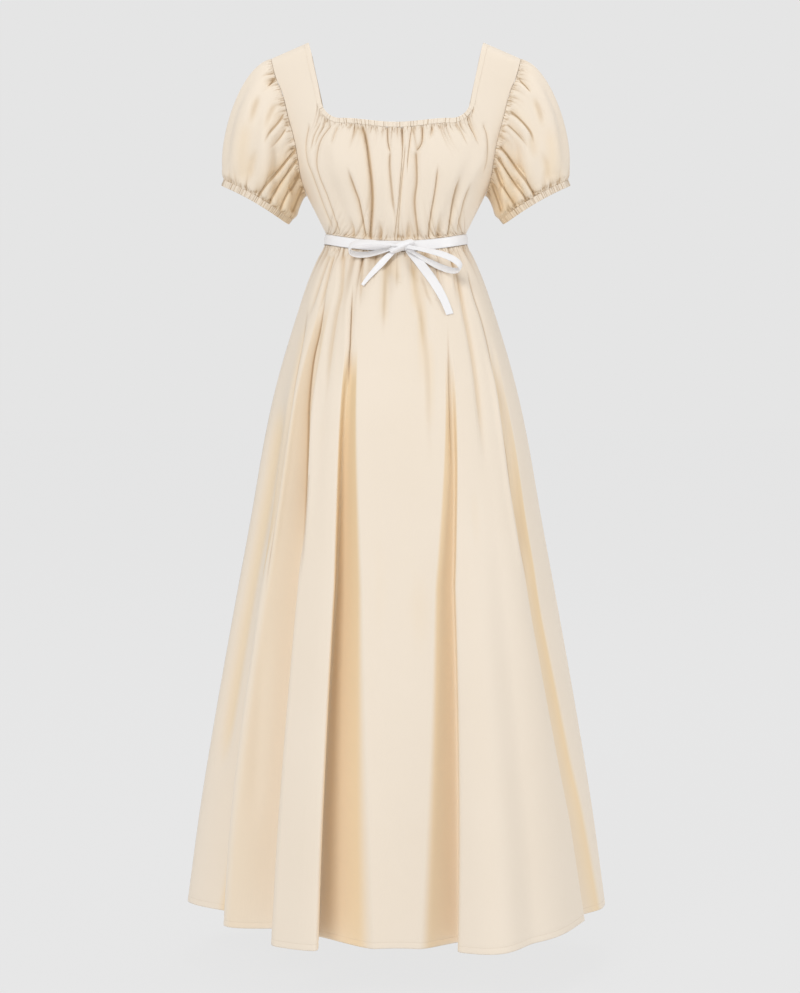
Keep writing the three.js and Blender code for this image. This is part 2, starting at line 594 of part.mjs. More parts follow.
addPiece("ribbon_knot", knot, WHITE);

// A ribbon along a path of steps, each with a middle point, a unit width direction and a width.
function ribbon(path) {
  const points = [-0.5, 0, 0.5].map((edge) =>
    path.map(({ middle, wideways, wide }) => middle.clone().addScaledVector(wideways, edge * wide)),
  );
  return wall(points, RIBBON);
}
// A loop lies in a plane: out along it and back, its layers parting on the way. The ribbon's width
// stands square to that plane.
const LOOP_STEPS = 14;
function bowLoop(loop) {
  const tip = onFront(knotMiddle.x + loop.x, knotMiddle.z - loop.fall, loop.off).point;
  const start = knotMiddle.clone().add(vec(0, -LOOP_FORWARD, 0));
  const along = tip.sub(start);
  const length = along.length();
  along.normalize();
  const apart = vec(0, -Math.sin(loop.tilt * DEG), -Math.cos(loop.tilt * DEG));
  apart.addScaledVector(along, -apart.dot(along)).normalize();
  const wideways = along.clone().cross(apart);
  const path = steps(LOOP_STEPS).map((t) => {
    const out = mix(KNOT.across, length, Math.sin(Math.PI * t));
    const lateral = (loop.part / 2) * Math.sin(2 * Math.PI * t) + 1.5 * RIBBON * Math.cos(Math.PI * t);
    const middle = start.clone().addScaledVector(along, out).addScaledVector(apart, lateral);
    const wide = mix(DRAWN, loop.wide, smooth(Math.sin(Math.PI * t) / LOOP_OPENS));
    return { middle, wideways, wide };
  });
  return ribbon(path);
}
for (const loop of LOOPS) addPiece(loop.name, bowLoop(loop), WHITE);

// A tail lies on the skirt, and comes off it near the knot.
const TAIL_STEPS = 12;
function tail(shape) {
  const top = knotMiddle.z - KNOT.tall - RIBBON - GAP;
  const lies = CLOTH / 2 + GAP + RIBBON / 2;
  const stands = onFront(knotMiddle.x, top, 0).point.y - knotMiddle.y - TAIL_BEHIND;
  const at = (t) => {
    const x = knotMiddle.x + mix(shape.from, shape.x, t) + shape.bend * Math.sin(Math.PI * t);
    return onFront(x, top - shape.fall * t, mix(stands, lies, smooth(t / TAIL_LIES)));
  };
  const path = steps(TAIL_STEPS).map((t) => {
    const { point, direction } = at(t);
    const forward = at(t + 0.02).point.sub(at(t - 0.02).point);
    const wideways = direction.cross(forward).normalize().lerp(vec(1, 0, 0), 1 - smooth(t / TAIL_LIES));
    return { middle: point, wideways, wide: mix(DRAWN, shape.wide, smooth(t / TAIL_OPENS)) };
  });
  return ribbon(path);
}
for (const shape of TAILS) addPiece(shape.name, tail(shape), WHITE);

export default dress;
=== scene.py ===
# %% [markdown]
# # A cream maxi dress with a tied ribbon belt
# The dress hangs as if worn, with nobody in it: a square neck gathered on a casing, puff sleeves, a
# gathered waist under the bust and a long skirt in deep folds. Each panel is worked out as a grid of
# points on the dress's own form, which puts every fold where it belongs.

import bpy
import numpy as np
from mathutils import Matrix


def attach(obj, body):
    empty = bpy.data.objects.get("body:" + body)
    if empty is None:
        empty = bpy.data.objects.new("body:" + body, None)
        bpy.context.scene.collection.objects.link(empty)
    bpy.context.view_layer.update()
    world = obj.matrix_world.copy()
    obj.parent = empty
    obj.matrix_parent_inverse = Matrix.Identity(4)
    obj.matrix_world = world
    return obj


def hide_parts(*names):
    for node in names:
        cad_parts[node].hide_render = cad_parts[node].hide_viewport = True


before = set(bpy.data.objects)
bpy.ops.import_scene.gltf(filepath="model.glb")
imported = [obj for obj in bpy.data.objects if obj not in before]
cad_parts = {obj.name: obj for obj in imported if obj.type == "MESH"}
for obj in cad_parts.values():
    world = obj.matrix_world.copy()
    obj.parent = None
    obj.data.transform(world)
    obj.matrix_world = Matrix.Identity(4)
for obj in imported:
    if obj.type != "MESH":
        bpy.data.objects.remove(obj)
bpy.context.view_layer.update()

# %% [markdown]
# ## Sizes
# The same sizes that drive the solids drive the cloth, in millimetres and degrees, so that the two
# agree without any fitting. `drop` is how far a level lies below the shoulder seam's neck end, `half`
# is half the width there, and `front` and `back` are how far it stands out from the side seam.

# %% Sizes of the dress
GAP = 0.3
SHELL = 1.2
CASING = 2.6
RIBBON = 0.8
SHOULDER_FALL = 26
LEVEL = SHOULDER_FALL / 2  # height of drop 0 above the origin
STRAP_INNER = 137
STRAP_OUTER = 197.5
NECK_DROP = 130
NECK_SAG = 7
NECK_ANGLE = 32.3
NECK_FLARE = 2
NECK_RADIUS = 26
NECK_CASING = 8
WAIST_TOP = 303
WAIST_DEEP = 17
WAIST_DIP = 16
HEM = 1373
CUFF_DEEP = 10
SQUARE = 0.144
DEGREE_WIDE = 3.2  # millimetres of cloth to one degree near the neck
GATHER_WIDE = 1.75  # and in the gathers of the waist

TRUNK = {
    "drop": [0, 5, 17, 46, 85, 123, 163, 203, 241, 275, WAIST_TOP],
    "half": [224, 223, 221, 215, 203, 190, 173, 160, 141, 124, 110],
    "front": [0, 24, 44, 62, 79, 93, 104, 110, 109, 102, 92],
    "back": [0, 23, 42, 62, 78, 86, 91, 92, 90, 86, 80],
}
ARMHOLE = [57.9, 57.7, 57.3, 56.7, 56.2, 58.2, 61.3, 67.5, 90]
ARMHOLE_TURN = 44
ARMHOLE_EASE = 0.8
SKIRT = {
    "drop": [WAIST_TOP + WAIST_DEEP, 350, 405, 525, 625, 755, 905, 1060, 1215, HEM],
    "half": [112, 128, 149, 186, 209, 232, 260, 288, 314, 336],
    "front": [94, 111, 132, 168, 193, 220, 252, 284, 315, 345],
    "back": [82, 98, 119, 155, 180, 209, 242, 275, 306, 336],
}

# %% [markdown]
# The skirt's deep folds are valleys. Each row gives the angle of a valley's floor at the waist,
# halfway down and at the hem, its half width and depth at the hem, how far the floor slides sideways
# under the next flap, the drop at which it opens and how strong the warm shade painted into it is.
# The three nearest the front's middle are a little shallower than in the solids, so that light
# reaches their floors.

# %% Deep folds and hollows of the skirt
FOLDS = [
    # waist, middle, hem, wide, deep, lean, opens, tone of painted shade
    (-52, -60, -70, 9, 11, 8, 425, 0.95),
    (-43, -43, -46, 14.5, 84, 14, 395, 0.35),
    (-22.6, -16.1, -13.5, 7.8, 70, -62, 475, 1.0),
    (28, 16.3, 11.6, 5.2, 38, 40, 490, 0.85),
    (57.5, 57.5, 73, 8, 18, -10, 455, 0.95),
    (104, 106, 108, 7, 52, 24, 395, 0.5),
    (130, 131, 133, 7, 84, -40, 445, 0.8),
    (152, 156, 158, 5, 60, 24, 375, 0.6),
    (186, 184, 183, 7, 92, 42, 515, 1.0),
    (212, 211, 210, 6, 58, -26, 395, 0.6),
    (238, 236, 235, 6, 76, 34, 435, 0.8),
    (256, 256, 258, 5, 36, -18, 415, 0.4),
]
HOLLOWS = [
    # at, wide, deep
    (0, 26, 42),
    (-70.5, 20, 66),
    (65, 24, 15),
    (25, 14, -26),
    (120, 20, 30),
    (224, 22, 36),
]

# %% [markdown]
# ## A few helpers
# `smooth` eases from 0 to 1, `hump` is a soft bump, `turn` is the difference of two angles, and
# `along` draws a smooth curve through a list of numbers. All work on whole arrays at once.

# %% Helpers
RAD = np.pi / 180
FAR = 99.0  # millimetres from a seam, a hem or a line that has no effect


def smooth(t):
    """3t² - 2t³ between 0 and 1, and level outside."""
    t = np.clip(t, 0, 1)
    return t * t * (3 - 2 * t)


def hump(t):
    """Half of 1 + cos(πt) between -1 and 1, and 0 outside."""
    return np.where(np.abs(t) < 1, 0.5 + 0.5 * np.cos(np.pi * t), 0.0)


def turn(a, b):
    """The angle from b to a, from -180 to 180 degrees."""
    return (a - b + 180) % 360 - 180


def mix(a, b, t):
    """a at t = 0 and b at t = 1, in proportion between."""
    return a + (b - a) * t


def along(values, place, start=None, end=None):
    """A cubic through the values, read at a fractional place. Each slope is half the step between
    the neighbours, unless the first or last one is given."""
    v = np.asarray(values, float)
    slope = np.gradient(v)
    slope[0] = slope[0] if start is None else start
    slope[-1] = slope[-1] if end is None else end
    i = np.clip(np.floor(place).astype(int), 0, len(v) - 2)
    t = place - i
    value = v[i] * (1 + 2 * t) * (1 - t) ** 2 + v[i + 1] * t * t * (3 - 2 * t)
    return value + slope[i] * t * (1 - t) ** 2 - slope[i + 1] * t * t * (1 - t)


def vectors(x, y, z):
    """Three arrays joined into one array of points."""
    return np.stack(np.broadcast_arrays(x, y, z), -1).astype(float)


def unit(v):
    """Vectors cut to length 1."""
    return v / np.maximum(np.linalg.norm(v, axis=-1, keepdims=True), 1e-12)


def directions(points, ring=False):
    """Outer direction at each point of a grid: the step down crossed with the step along."""
    wide = np.concatenate([points[:, -1:], points, points[:, :1]], 1) if ring else points
    around = np.gradient(wide, axis=1)
    around = around[:, 1:-1] if ring else around
    return unit(np.cross(np.gradient(points, axis=0), around))


def run(points, axis):
    """Distance gone along one axis of a grid, from 0 at its start."""
    steps = np.linalg.norm(np.diff(points, axis=axis), axis=-1)
    gone = np.cumsum(steps, axis=axis)
    start = np.zeros_like(np.take(gone, [0], axis=axis))
    return np.concatenate([start, gone], axis=axis)


def mirrored(points):
    """Points of the right-hand side made into those of the left, their columns in order again."""
    return points[..., ::-1, :] * np.array([-1, 1, 1])


# %% [markdown]
# ## The form of the dress
# A level of the trunk or the skirt is an ellipse, a little fuller towards its corners. The angle
# round the dress starts at centre front, and the side seam on the right is at 90 degrees.

# %% Sections and the trunk form
FULLNESS = {"angle": 34, "drop": 195, "wide": 34, "tall": 66, "proud": 11}
CREASE_IN = 50
CREASE_OUT = 30
BROAD_CREASES = [
    # waist, neck, wide, deep, from, to
    (-15, -9, 8, 6, 145, 315),
    (10, 8, 8, 5, 145, 315),
    (-38, -36, 9, 5, 145, 313),
    (36, 38, 9, 5, 155, 313),
    (164, 168, 8, 6, 145, 313),
    (194, 190, 8, 5, 150, 313),
    (140, 142, 9, 5, 155, 313),
    (218, 219, 9, 5, 155, 313),
]


def across(angle, square=SQUARE):
    """sin(angle), widened by 1 + square times cos²(angle)."""
    return np.sin(angle * RAD) * (1 + square * np.cos(angle * RAD) ** 2)


def through(angle, square=SQUARE):
    """cos(angle), widened by 1 + square times sin²(angle)."""
    return np.cos(angle * RAD) * (1 + square * np.sin(angle * RAD) ** 2)


def waist_dip(angle):
    """How much lower the waist lies: its dip times cos² in front, nothing behind."""
    return np.where(np.cos(angle * RAD) >= 0, WAIST_DIP * np.cos(angle * RAD) ** 2, 0.0)


def depth_of(table, angle, row, starts=(None, None)):
    """Distance out from the side seam, from the front column or the back column of a table."""
    front = along(table["front"], row, starts[0])
    back = along(table["back"], row, starts[1])
    return np.where(np.cos(angle * RAD) >= 0, front, back)


def trunk_drop(row):
    """Drop at a fractional row of the trunk's table."""
    return along(TRUNK["drop"], row, 0)


FINE_ROWS = np.linspace(0, len(TRUNK["drop"]) - 1, 4001)
FINE_DROPS = trunk_drop(FINE_ROWS)


def trunk_row(drop):
    """The fractional row at which the trunk reaches a drop."""
    return np.interp(drop, FINE_DROPS, FINE_ROWS)


def trunk_point(angle, row):
    """A point of the bodice: the section at that row, pushed out by the front's fullness and in by
    its broad creases, then lowered by the slope of the shoulder and the dip of the waist."""
    drop = trunk_drop(row)
    x = along(TRUNK["half"], row) * across(angle)
    y = -depth_of(TRUNK, angle, row, (TRUNK["front"][1], TRUNK["back"][1])) * through(angle)
    full = hump((np.abs(turn(angle, 0)) - FULLNESS["angle"]) / FULLNESS["wide"])
    proud = FULLNESS["proud"] * full * hump((drop - FULLNESS["drop"]) / FULLNESS["tall"])
    down = np.clip((drop - NECK_DROP) / (WAIST_TOP - NECK_DROP), 0, 1)
    for waist, neck, wide, deep, start, end in BROAD_CREASES:
        reach = smooth((drop - start) / CREASE_IN) * smooth((end - drop) / CREASE_OUT)
        proud = proud - deep * hump(turn(angle, mix(neck, waist, down)) / wide) * reach
    grown = 1 + proud / np.hypot(x, y)
    x = x * grown
    y = y * grown
    slope = SHOULDER_FALL * (np.abs(x) - STRAP_INNER) / (STRAP_OUTER - STRAP_INNER)
    slope = slope * (1 - smooth(drop / NECK_DROP))
    dip = waist_dip(angle) * smooth((drop - NECK_DROP) / (WAIST_TOP - NECK_DROP))
    return vectors(x, y, LEVEL - drop - slope - dip)


print("bust section:", np.round(trunk_point(np.array([0.0, 90.0, 180.0]), 7.0), 1).tolist())

# %% [markdown]
# ## Creases and gathers
# Two kinds of fold lie on the broad form. A crease is one long soft trough, drawn as a line
# of (sideways, drop) points seen from the front or the back. Gathers are the many short troughs
# where a long edge is drawn up on a shorter seam: each has its own place, width, depth and length
# from a seeded list, and dies away from the seam. A seam has a coarse row of them and a fine one.

# %% Creases and gathers
CRISP = 2.0  # width of a crease's crisp side
# The dark line beside a crease is shade painted into the cloth's colour.
LINE = 2.6  # width of a dark line beside it
REACH = 1.3  # how many widths from its middle a line shows
DEEPEST = 9  # no gather or crease of the bodice and sleeves goes deeper
GATHERS = {
    # pitch, deep, long, spread
    "skirt": [(8, 5.0, 90, 0.5), (4.5, 2.6, 26, 0.5)],
    "neck": [(6.5, 4.4, 40, 0.6), (4, 2.4, 15, 0.4)],
    "waist": [(7, 4.0, 58, 0.5), (4.2, 2.2, 20, 0.4)],
    "armhole": [(7.5, 3.8, 28, 0.7), (4.5, 2.4, 14, 0.4)],
    "cuff": [(7, 3.8, 24, 0.7), (4.2, 2.4, 14, 0.4)],
}


def smooth_line(path):
    """A smooth line of points through a short path."""
    path = np.asarray(path, float)
    place = np.linspace(0, len(path) - 1, 8 * (len(path) - 1) + 1)
    return np.stack([along(path[:, 0], place), along(path[:, 1], place)], 1)


def crease(points, path, soft, deep, side=0, ends=(30, 30)):
    """Height of one crease, the distance to its line in widths of its painted dark line of shade,
    and how dark that line is painted.
    The height is minus its depth times exp(-distance / width). One side is crisp, with a small
    ridge, where a flap lies over the crease: the right one where side is 1, the left one where it
    is -1. An even trough, side 0, is exp(-(distance / width)²). It fades over both its ends."""
    x = points[..., 0]
    down = LEVEL - points[..., 2]
    line = smooth_line(path)
    low = line.min(0) - 5 * soft
    high = line.max(0) + 5 * soft
    near = (x > low[0]) & (x < high[0]) & (down > low[1]) & (down < high[1])
    height = np.zeros(x.shape)
    offset = np.full(x.shape, FAR)
    dark = np.zeros(x.shape)
    if not near.any():
        return height, offset, dark
    step = np.diff(line, axis=0)
    length = np.linalg.norm(step, axis=1)
    gone = np.cumsum(length) - length
    off = np.stack([x[near], down[near]], -1)[None] - line[:-1, None]
    t = np.clip((off * step[:, None]).sum(-1) / length[:, None] ** 2, 0, 1)
    away = off - t[..., None] * step[:, None]
    distance = np.linalg.norm(away, axis=-1)
    k = distance.argmin(0)
    every = np.arange(len(k))
    right = np.sign(step[k, 1] * off[k, every, 0] - step[k, 0] * off[k, every, 1])
    d = distance[k, every]
    went = gone[k] + t[k, every] * length[k]
    fade = smooth(went / ends[0]) * smooth((length.sum() - went) / ends[1])
    strong = fade * min(1.0, deep / 7)
    if side == 0:
        height[near] = -fade * deep * np.exp(-((d / soft) ** 2))
        offset[near] = right * d / soft
        dark[near] = 0.55 * strong * np.clip((9 - soft) / 5, 0, 1)
        return height, offset, dark
    over = right * side > 0
    trough = np.where(over, np.exp(-d / CRISP), np.exp(-d / soft))
    ridge = np.where(over, np.exp(-(((d - 3.4 * CRISP) / (2.2 * CRISP)) ** 2)), 0.0)
    height[near] = fade * deep * (0.22 * ridge - trough)
    offset[near] = right * d / (LINE * np.clip(soft / 4.5, 0.65, 1.2))
    dark[near] = strong
    return height, offset, dark


def creases(points, table, facing):
    """Sum of the heights of a table's creases, on the side that faces forwards or backwards, then
    their painted dark lines of shade: the offset from the one that shows most among every other
    crease and how dark it is painted, and the same among the rest, so that two lines may run close
    together."""
    made = [crease(points, *row) for row in table]
    faces = np.sign(points[..., 1]) == facing
    height = np.where(faces, sum(row[0] for row in made), 0.0)
    lines = []
    for half in (made[::2], made[1::2]):
        offset = np.stack([row[1] for row in half])
        dark = np.stack([row[2] for row in half])
        shown = dark * np.clip(1 - (offset / REACH) ** 2, 0, 1)
        best = (shown + 0.001 * np.exp(-np.abs(offset))).argmax(0)[None]
        offset = np.take_along_axis(offset, best, 0)[0]
        dark = np.take_along_axis(dark, best, 0)[0]
        lines.append(np.where(faces, offset, FAR))
        lines.append(np.where(faces & (np.abs(offset) < REACH), dark, 0.0))
    return height, lines


def narrow(drawn):
    """How dark the shade painted into the gathers is, from their depth."""
    return 0.8 * np.clip(-drawn / 3.6, 0, 1) ** 1.4


def gather_row(place, away, seed, start, end, pitch, deep, long, spread):
    """Height of a row of gathers along a seam from start to end: the sum of narrow troughs, each
    exp(-offset / width) across and exp(-(away / length)²) along, a little wider further on."""
    rng = np.random.default_rng(seed)
    at = start + pitch * np.cumsum(rng.uniform(0.4, 1.6, int((end - start) / pitch) + 1))
    at = at[at < end]
    height = np.zeros(np.broadcast(place, away).shape)
    widths = rng.uniform(0.16, 0.26, len(at)) * pitch
    depths = rng.uniform(0.2, 1.0, len(at)) ** 1.3 * deep
    lengths = rng.uniform(0.25, 1.0, len(at)) ** 1.5 * long
    leans = rng.normal(0, 0.05, len(at))
    for middle, width, depth, length, lean in zip(at, widths, depths, lengths, leans):
        width = width * (1 + spread * away / length)
        across_it = np.abs(place - middle - lean * away) / width
        height = height - depth * np.exp(-across_it - (away / length) ** 2)
    return height


def gathers(seam, place, away, seed, start, end):
    """Height of all the gathers along a seam: its coarse row and its fine one."""
    rows = enumerate(GATHERS[seam])
    return sum(gather_row(place, away, seed + i, start, end, *row) for i, row in rows)


# %% [markdown]
# ## From points to cloth
# `cloth` puts a grid of points into a mesh: rows run down, columns run round, so every face looks
# outwards. The UV map is measured on the surface, in metres, so a weave keeps its true size on it.
# Solidify then gives the single layer its real thickness.

# %% Grid to mesh
def add(name, data):
    """A new object in the scene."""
    obj = bpy.data.objects.new(name, data)
    bpy.context.scene.collection.objects.link(obj)
    return obj


def cloth(name, points, ring=False, tube=False, thick=SHELL, shade_and_hem=None, seams=None, lines=()):
    """A mesh of one grid of points in millimetres. A ring joins its last column to its first, and a
    tube its last row to its first. The shaders read painted shade (how much warm shade a broad fold
    and how much dark shade narrow gathers paint into the colour) with the distance to the hem, seams
    (place along the gathers, distance to the upper and the lower seam), and lines and others, the
    painted dark lines of shade along creases (offset from a crease's line, how dark it is painted)."""
    rows, cols = points.shape[:2]
    full = np.concatenate([points, points[:, :1]], 1) if ring else points
    full = np.concatenate([full, full[:1]], 0) if tube else full
    down, side = np.meshgrid(np.arange(full.shape[0] - 1), np.arange(full.shape[1] - 1), indexing="ij")
    down = down.ravel()
    side = side.ravel()
    corners = [(down, side), (down + 1, side), (down + 1, side + 1), (down, side + 1)]
    faces = np.stack([(r % rows) * cols + c % cols for r, c in corners], 1)
    mesh = bpy.data.meshes.new(name)
    mesh.from_pydata((points.reshape(-1, 3) / 1000).tolist(), [], faces.tolist())
    measured = np.stack([run(full, 1), run(full, 0)], -1) / 1000
    uv = np.stack([measured[r, c] for r, c in corners], 1)
    mesh.uv_layers.new(name="UVMap").data.foreach_set("uv", uv.ravel())
    read = {"shade_and_hem": shade_and_hem, "seams": seams, "lines": lines[:2], "others": lines[2:]}
    for title, values in read.items():
        if values:
            values = vectors(*np.broadcast_arrays(*values, np.zeros((rows, cols)))[:3])
            made = mesh.attributes.new(title, "FLOAT_VECTOR", "POINT")
            made.data.foreach_set("vector", values.astype(np.float32).ravel())
    mesh.shade_smooth()
    obj = add(name, mesh)
    if not tube:
        shell = obj.modifiers.new("thickness", "SOLIDIFY")
        shell.thickness = thick / 1000
        shell.offset = 0
    first = full[1:, 1:] - full[:-1, :-1]
    area = np.linalg.norm(np.cross(first, full[1:, :-1] - full[:-1, 1:]), axis=-1).sum() / 2e6
    print(f"{name}: {rows} x {cols} points, {len(faces)} faces, {area:.4f} square metres")
    return obj


def finish_piece(obj, node, material):
    """Gives a piece its material and its place in the dress."""
    obj.data.materials.append(material)
    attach(obj, "root")
    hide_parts(node)
    return obj


def casing(name, edge, far, out, thick, ruffle, place, gathered, shade_tone=0.0, samples=16):
    """An elastic casing as a closed tube. Its section goes round from one edge over the outer face
    to the far edge and back inside: cos and sin with their corners filled out. Where it isn't
    gathered, it is thinner, flat and plain. Dark shade is painted in its ruffles' troughs, and a
    given warm shade all over."""
    angle = np.linspace(0, 2 * np.pi, samples, endpoint=False)[:, None, None]
    wide = np.sign(np.cos(angle)) * np.abs(np.cos(angle)) ** 0.4
    high = np.sign(np.sin(angle)) * np.abs(np.sin(angle)) ** 0.35
    middle = (edge + far) / 2
    half = (far - edge) / 2
    thick = mix(SHELL + 0.1, thick, gathered)[..., None]
    points = middle - half * wide + out * (high * (thick / 2) + (ruffle * gathered)[..., None])
    # Painted shade: the given warm shade, and dark shade in the troughs of the ruffles.
    shade_and_hem = (shade_tone, 0.7 * np.clip(-ruffle / 0.9, 0, 1) ** 2 * gathered, FAR)
    seams = (place, FAR * (1 - gathered), FAR)
    return cloth(name, points, ring=True, tube=True, shade_and_hem=shade_and_hem, seams=seams)


# %% [markdown]
# ## Paint for the shaders
# A material is a graph of nodes, and long graphs are hard to read. This small class lets a socket be
# added, multiplied and so on like a number, each as one Math node.

# %% Shader expressions
def by_node(how, turned=False):
    """A method of Link: one Math node, fed by the link and another value, or the other way round."""

    def method(self, other=0.0):
        pair = (other, self) if turned else (self, other)
        return self.finish.node("ShaderNodeMath", {"operation": how}, dict(enumerate(pair)))

    return method


class Link:
    """One output of a shader node, which can take part in sums."""

    def __init__(self, finish, socket):
        self.finish = finish
        self.socket = socket

    __add__ = __radd__ = by_node("ADD")
    __mul__ = __rmul__ = by_node("MULTIPLY")
    __sub__ = by_node("SUBTRACT")
    __rsub__ = by_node("SUBTRACT", turned=True)
    __truediv__ = by_node("DIVIDE")
    sine = by_node("SINE")
    size = by_node("ABSOLUTE")
    at_least = by_node("MAXIMUM")
    at_most = by_node("MINIMUM")


class Finish:
    """A material with one Principled shader, built up by expressions."""

    def __init__(self, name):
        self.material = bpy.data.materials.new(name)
        self.material.use_nodes = True
        self.tree = self.material.node_tree
        self.tree.nodes.clear()
        output = self.tree.nodes.new("ShaderNodeOutputMaterial")
        self.shader = self.tree.nodes.new("ShaderNodeBsdfPrincipled")
        self.tree.links.new(self.shader.outputs[0], output.inputs[0])

    def put(self, socket, value):
        """Links a node's output to a socket, or sets the socket's own value."""
        if isinstance(value, Link):
            self.tree.links.new(value.socket, socket)
        else:
            socket.default_value = value

    def node(self, kind, settings, inputs, output=0):
        """A node of any type: its settings first, then its sockets."""
        made = self.tree.nodes.new(kind)
        for title, value in settings.items():
            setattr(made, title, value)
        for title, value in inputs.items():
            self.put(made.inputs[title], value)
        return Link(self, made.outputs[output])

    def blend(self, first, second, factor):
        """One colour into another."""
        return self.node("ShaderNodeMix", {"data_type": "RGBA"}, {0: factor, 6: first, 7: second}, 2)

    def attribute(self, title):
        """The three numbers of a vector attribute."""
        return self.parts(self.node("ShaderNodeAttribute", {"attribute_name": title}, {}, 1))

    def parts(self, vector):
        """The three numbers of a vector, as three outputs of one node."""
        made = self.node("ShaderNodeSeparateXYZ", {}, {0: vector})
        outputs = made.socket.node.outputs
        return [Link(self, outputs[i]) for i in range(3)]

    def surface(self):
        """The piece's own map, in metres along and down the cloth."""
        return self.parts(self.node("ShaderNodeUVMap", {"uv_map": "UVMap"}, {}))[:2]

    def cloud(self, scale, detail):
        """Broad, faint unevenness all through an object."""
        where = self.node("ShaderNodeTexCoord", {}, {}, 3)
        return self.node("ShaderNodeTexNoise", {}, {"Vector": where, "Scale": scale, "Detail": detail})

    def noise(self, x, y, z=0.0, detail=2.0):
        """Cloud noise read at a point, one cloud to each unit."""
        place = self.node("ShaderNodeCombineXYZ", {}, {0: x, 1: y, 2: z})
        return self.node("ShaderNodeTexNoise", {}, {"Vector": place, "Scale": 1.0, "Detail": detail})

    def bump(self, strength, distance, height):
        """A normal from a height."""
        values = {"Strength": strength, "Distance": distance, "Height": height}
        return self.node("ShaderNodeBump", {}, values)

    def set(self, **values):
        """Values and links of the Principled shader's sockets."""
        for title, value in values.items():
            self.put(self.shader.inputs[title.replace("_", " ")], value)


def colour(red, green, blue):
    """A colour given from 0 to 255 as it looks, turned into the light that the shader needs."""
    shown = np.array([red, green, blue]) / 255
    light = np.where(shown <= 0.04045, shown / 12.92, ((shown + 0.055) / 1.055) ** 2.4)
    return (*light.tolist(), 1.0)


# %% [markdown]
# ## Cream cloth
# The cloth is a smooth, softly lustrous weave. Light that bounces between two walls of a fold takes
# on the cloth's own colour twice, so folds look warmer than flats, and narrow ones darker too; that
# shade is painted into the colour from the values that each panel carries, with dark lines of
# shade painted along the creases. The weave and a faint unevenness are bumps.

# %% Cream cloth
THREAD = 0.0009  # metres from thread to thread
STITCH = 0.0032  # metres from stitch to stitch
HEM_LINE = 9.0  # millimetres from the hem to its stitches
TUCK_LONG = 15  # how far the finest gathers reach
FLAT_TONE = colour(243, 230, 213)
UNEVEN_TONE = colour(239, 225, 206)
# The next two colours are painted shade: a warm one for folds and a dark one for creases and gathers.
FOLD_SHADE_TONE = colour(242, 215, 173)
DARK_SHADE_TONE = colour(186, 155, 116)
THREAD_TONE = colour(214, 196, 172)


def tucks(made, place, away, seed):
    """The finest gathers, thinner than the grid can hold: noise narrow along the seam and drawn out
    away from it, of which only the high spots are kept, fading with the distance to the seam. They
    are drawn as a bump and as painted dark shade."""
    streak = made.noise(place / 2.1, away / 11, seed, 1.0)
    spots = ((streak - 0.545) * 10).at_least(0.0).at_most(1.0)
    return spots * (1 - away / TUCK_LONG).at_least(0.0)


def cream_cloth():
    """Warm cream, with the weave as two crossed sine waves on the surface's own map. Shade is
    painted in: warm in folds, dark along creases, in gathers and on the lit sides of valleys.
    """
    made = Finish("cream_cloth")
    u, v = made.surface()
    place, away, above = made.attribute("seams")
    fold, narrow, hem = made.attribute("shade_and_hem")
    one, dark, _ = made.attribute("lines")
    other, shade, _ = made.attribute("others")
    slub = made.noise(u * 420, v * 60, 0.0, 4.0)
    weave = (u * (2 * np.pi / THREAD)).sine() * (v * (2 * np.pi / THREAD)).sine()
    near_line = (1 - (hem - HEM_LINE).size() / 0.7).at_least(0.0)
    dash = ((u * (2 * np.pi / STITCH)).sine() * 4 + 1.5).at_least(0.0).at_most(1.0)
    stitch = near_line * dash
    tuck = (tucks(made, place, away, 0.0) + tucks(made, place, above, 40.0)).at_most(1.0)
    # Painted shade: a dark line along each crease, darkest on its line.
    near_one = (1 - one * one).at_least(0.0)
    near_other = (1 - other * other).at_least(0.0)
    line = (dark * near_one * near_one).at_least(shade * near_other * near_other)
    base = made.blend(FLAT_TONE, UNEVEN_TONE, made.cloud(7.0, 3.0))
    # Painted shade: the warm tone of a fold, then the dark tone of crease lines and gathers.
    base = made.blend(base, FOLD_SHADE_TONE, fold)
    base = made.blend(base, DARK_SHADE_TONE, (line + narrow + tuck * 0.95).at_most(1.0) * 0.8)
    base = made.blend(base, THREAD_TONE, stitch * 0.5)
    height = slub * 0.3 + weave * 0.035 - near_line * 0.4 + stitch * 0.3 - tuck * 0.9 - line * 0.6
    made.set(Base_Color=base, Roughness=0.46 + slub * 0.1, Normal=made.bump(0.7, 0.0006, height))
    made.set(Sheen_Weight=0.08, Sheen_Roughness=0.45, Specular_IOR_Level=0.28)
    return made.material


CREAM = cream_cloth()
print("cream cloth:", len(CREAM.node_tree.nodes), "nodes")

# %% [markdown]
# ## White ribbon
# The belt is a narrow satin ribbon, a cooler white than the dress. Very fine threads run along it,
# so its gloss is streaked lengthwise.

# %% White ribbon
def white_ribbon():
    """White, with fine ribs along the ribbon from a noise drawn out along its length."""
    made = Finish("white_ribbon")
    u, v = made.surface()
    ribs = made.noise(u * 30, v * 1400)
    base = made.blend(colour(250, 249, 249), colour(241, 240, 242), ribs)
    made.set(Base_Color=base, Roughness=0.34 + ribs * 0.12, Normal=made.bump(0.3, 0.0003, ribs))
    made.set(Sheen_Weight=0.1, Specular_IOR_Level=0.5)
    return made.material


WHITE = white_ribbon()
print("white ribbon:", len(WHITE.node_tree.nodes), "nodes")

# %% [markdown]
# ## Camera, floor and light
# A long lens a little below the waist sees the dress from straight in front. The studio is plain
# and pale, with large soft lights and even light from all round, so that the folds are drawn by
# soft shade alone.

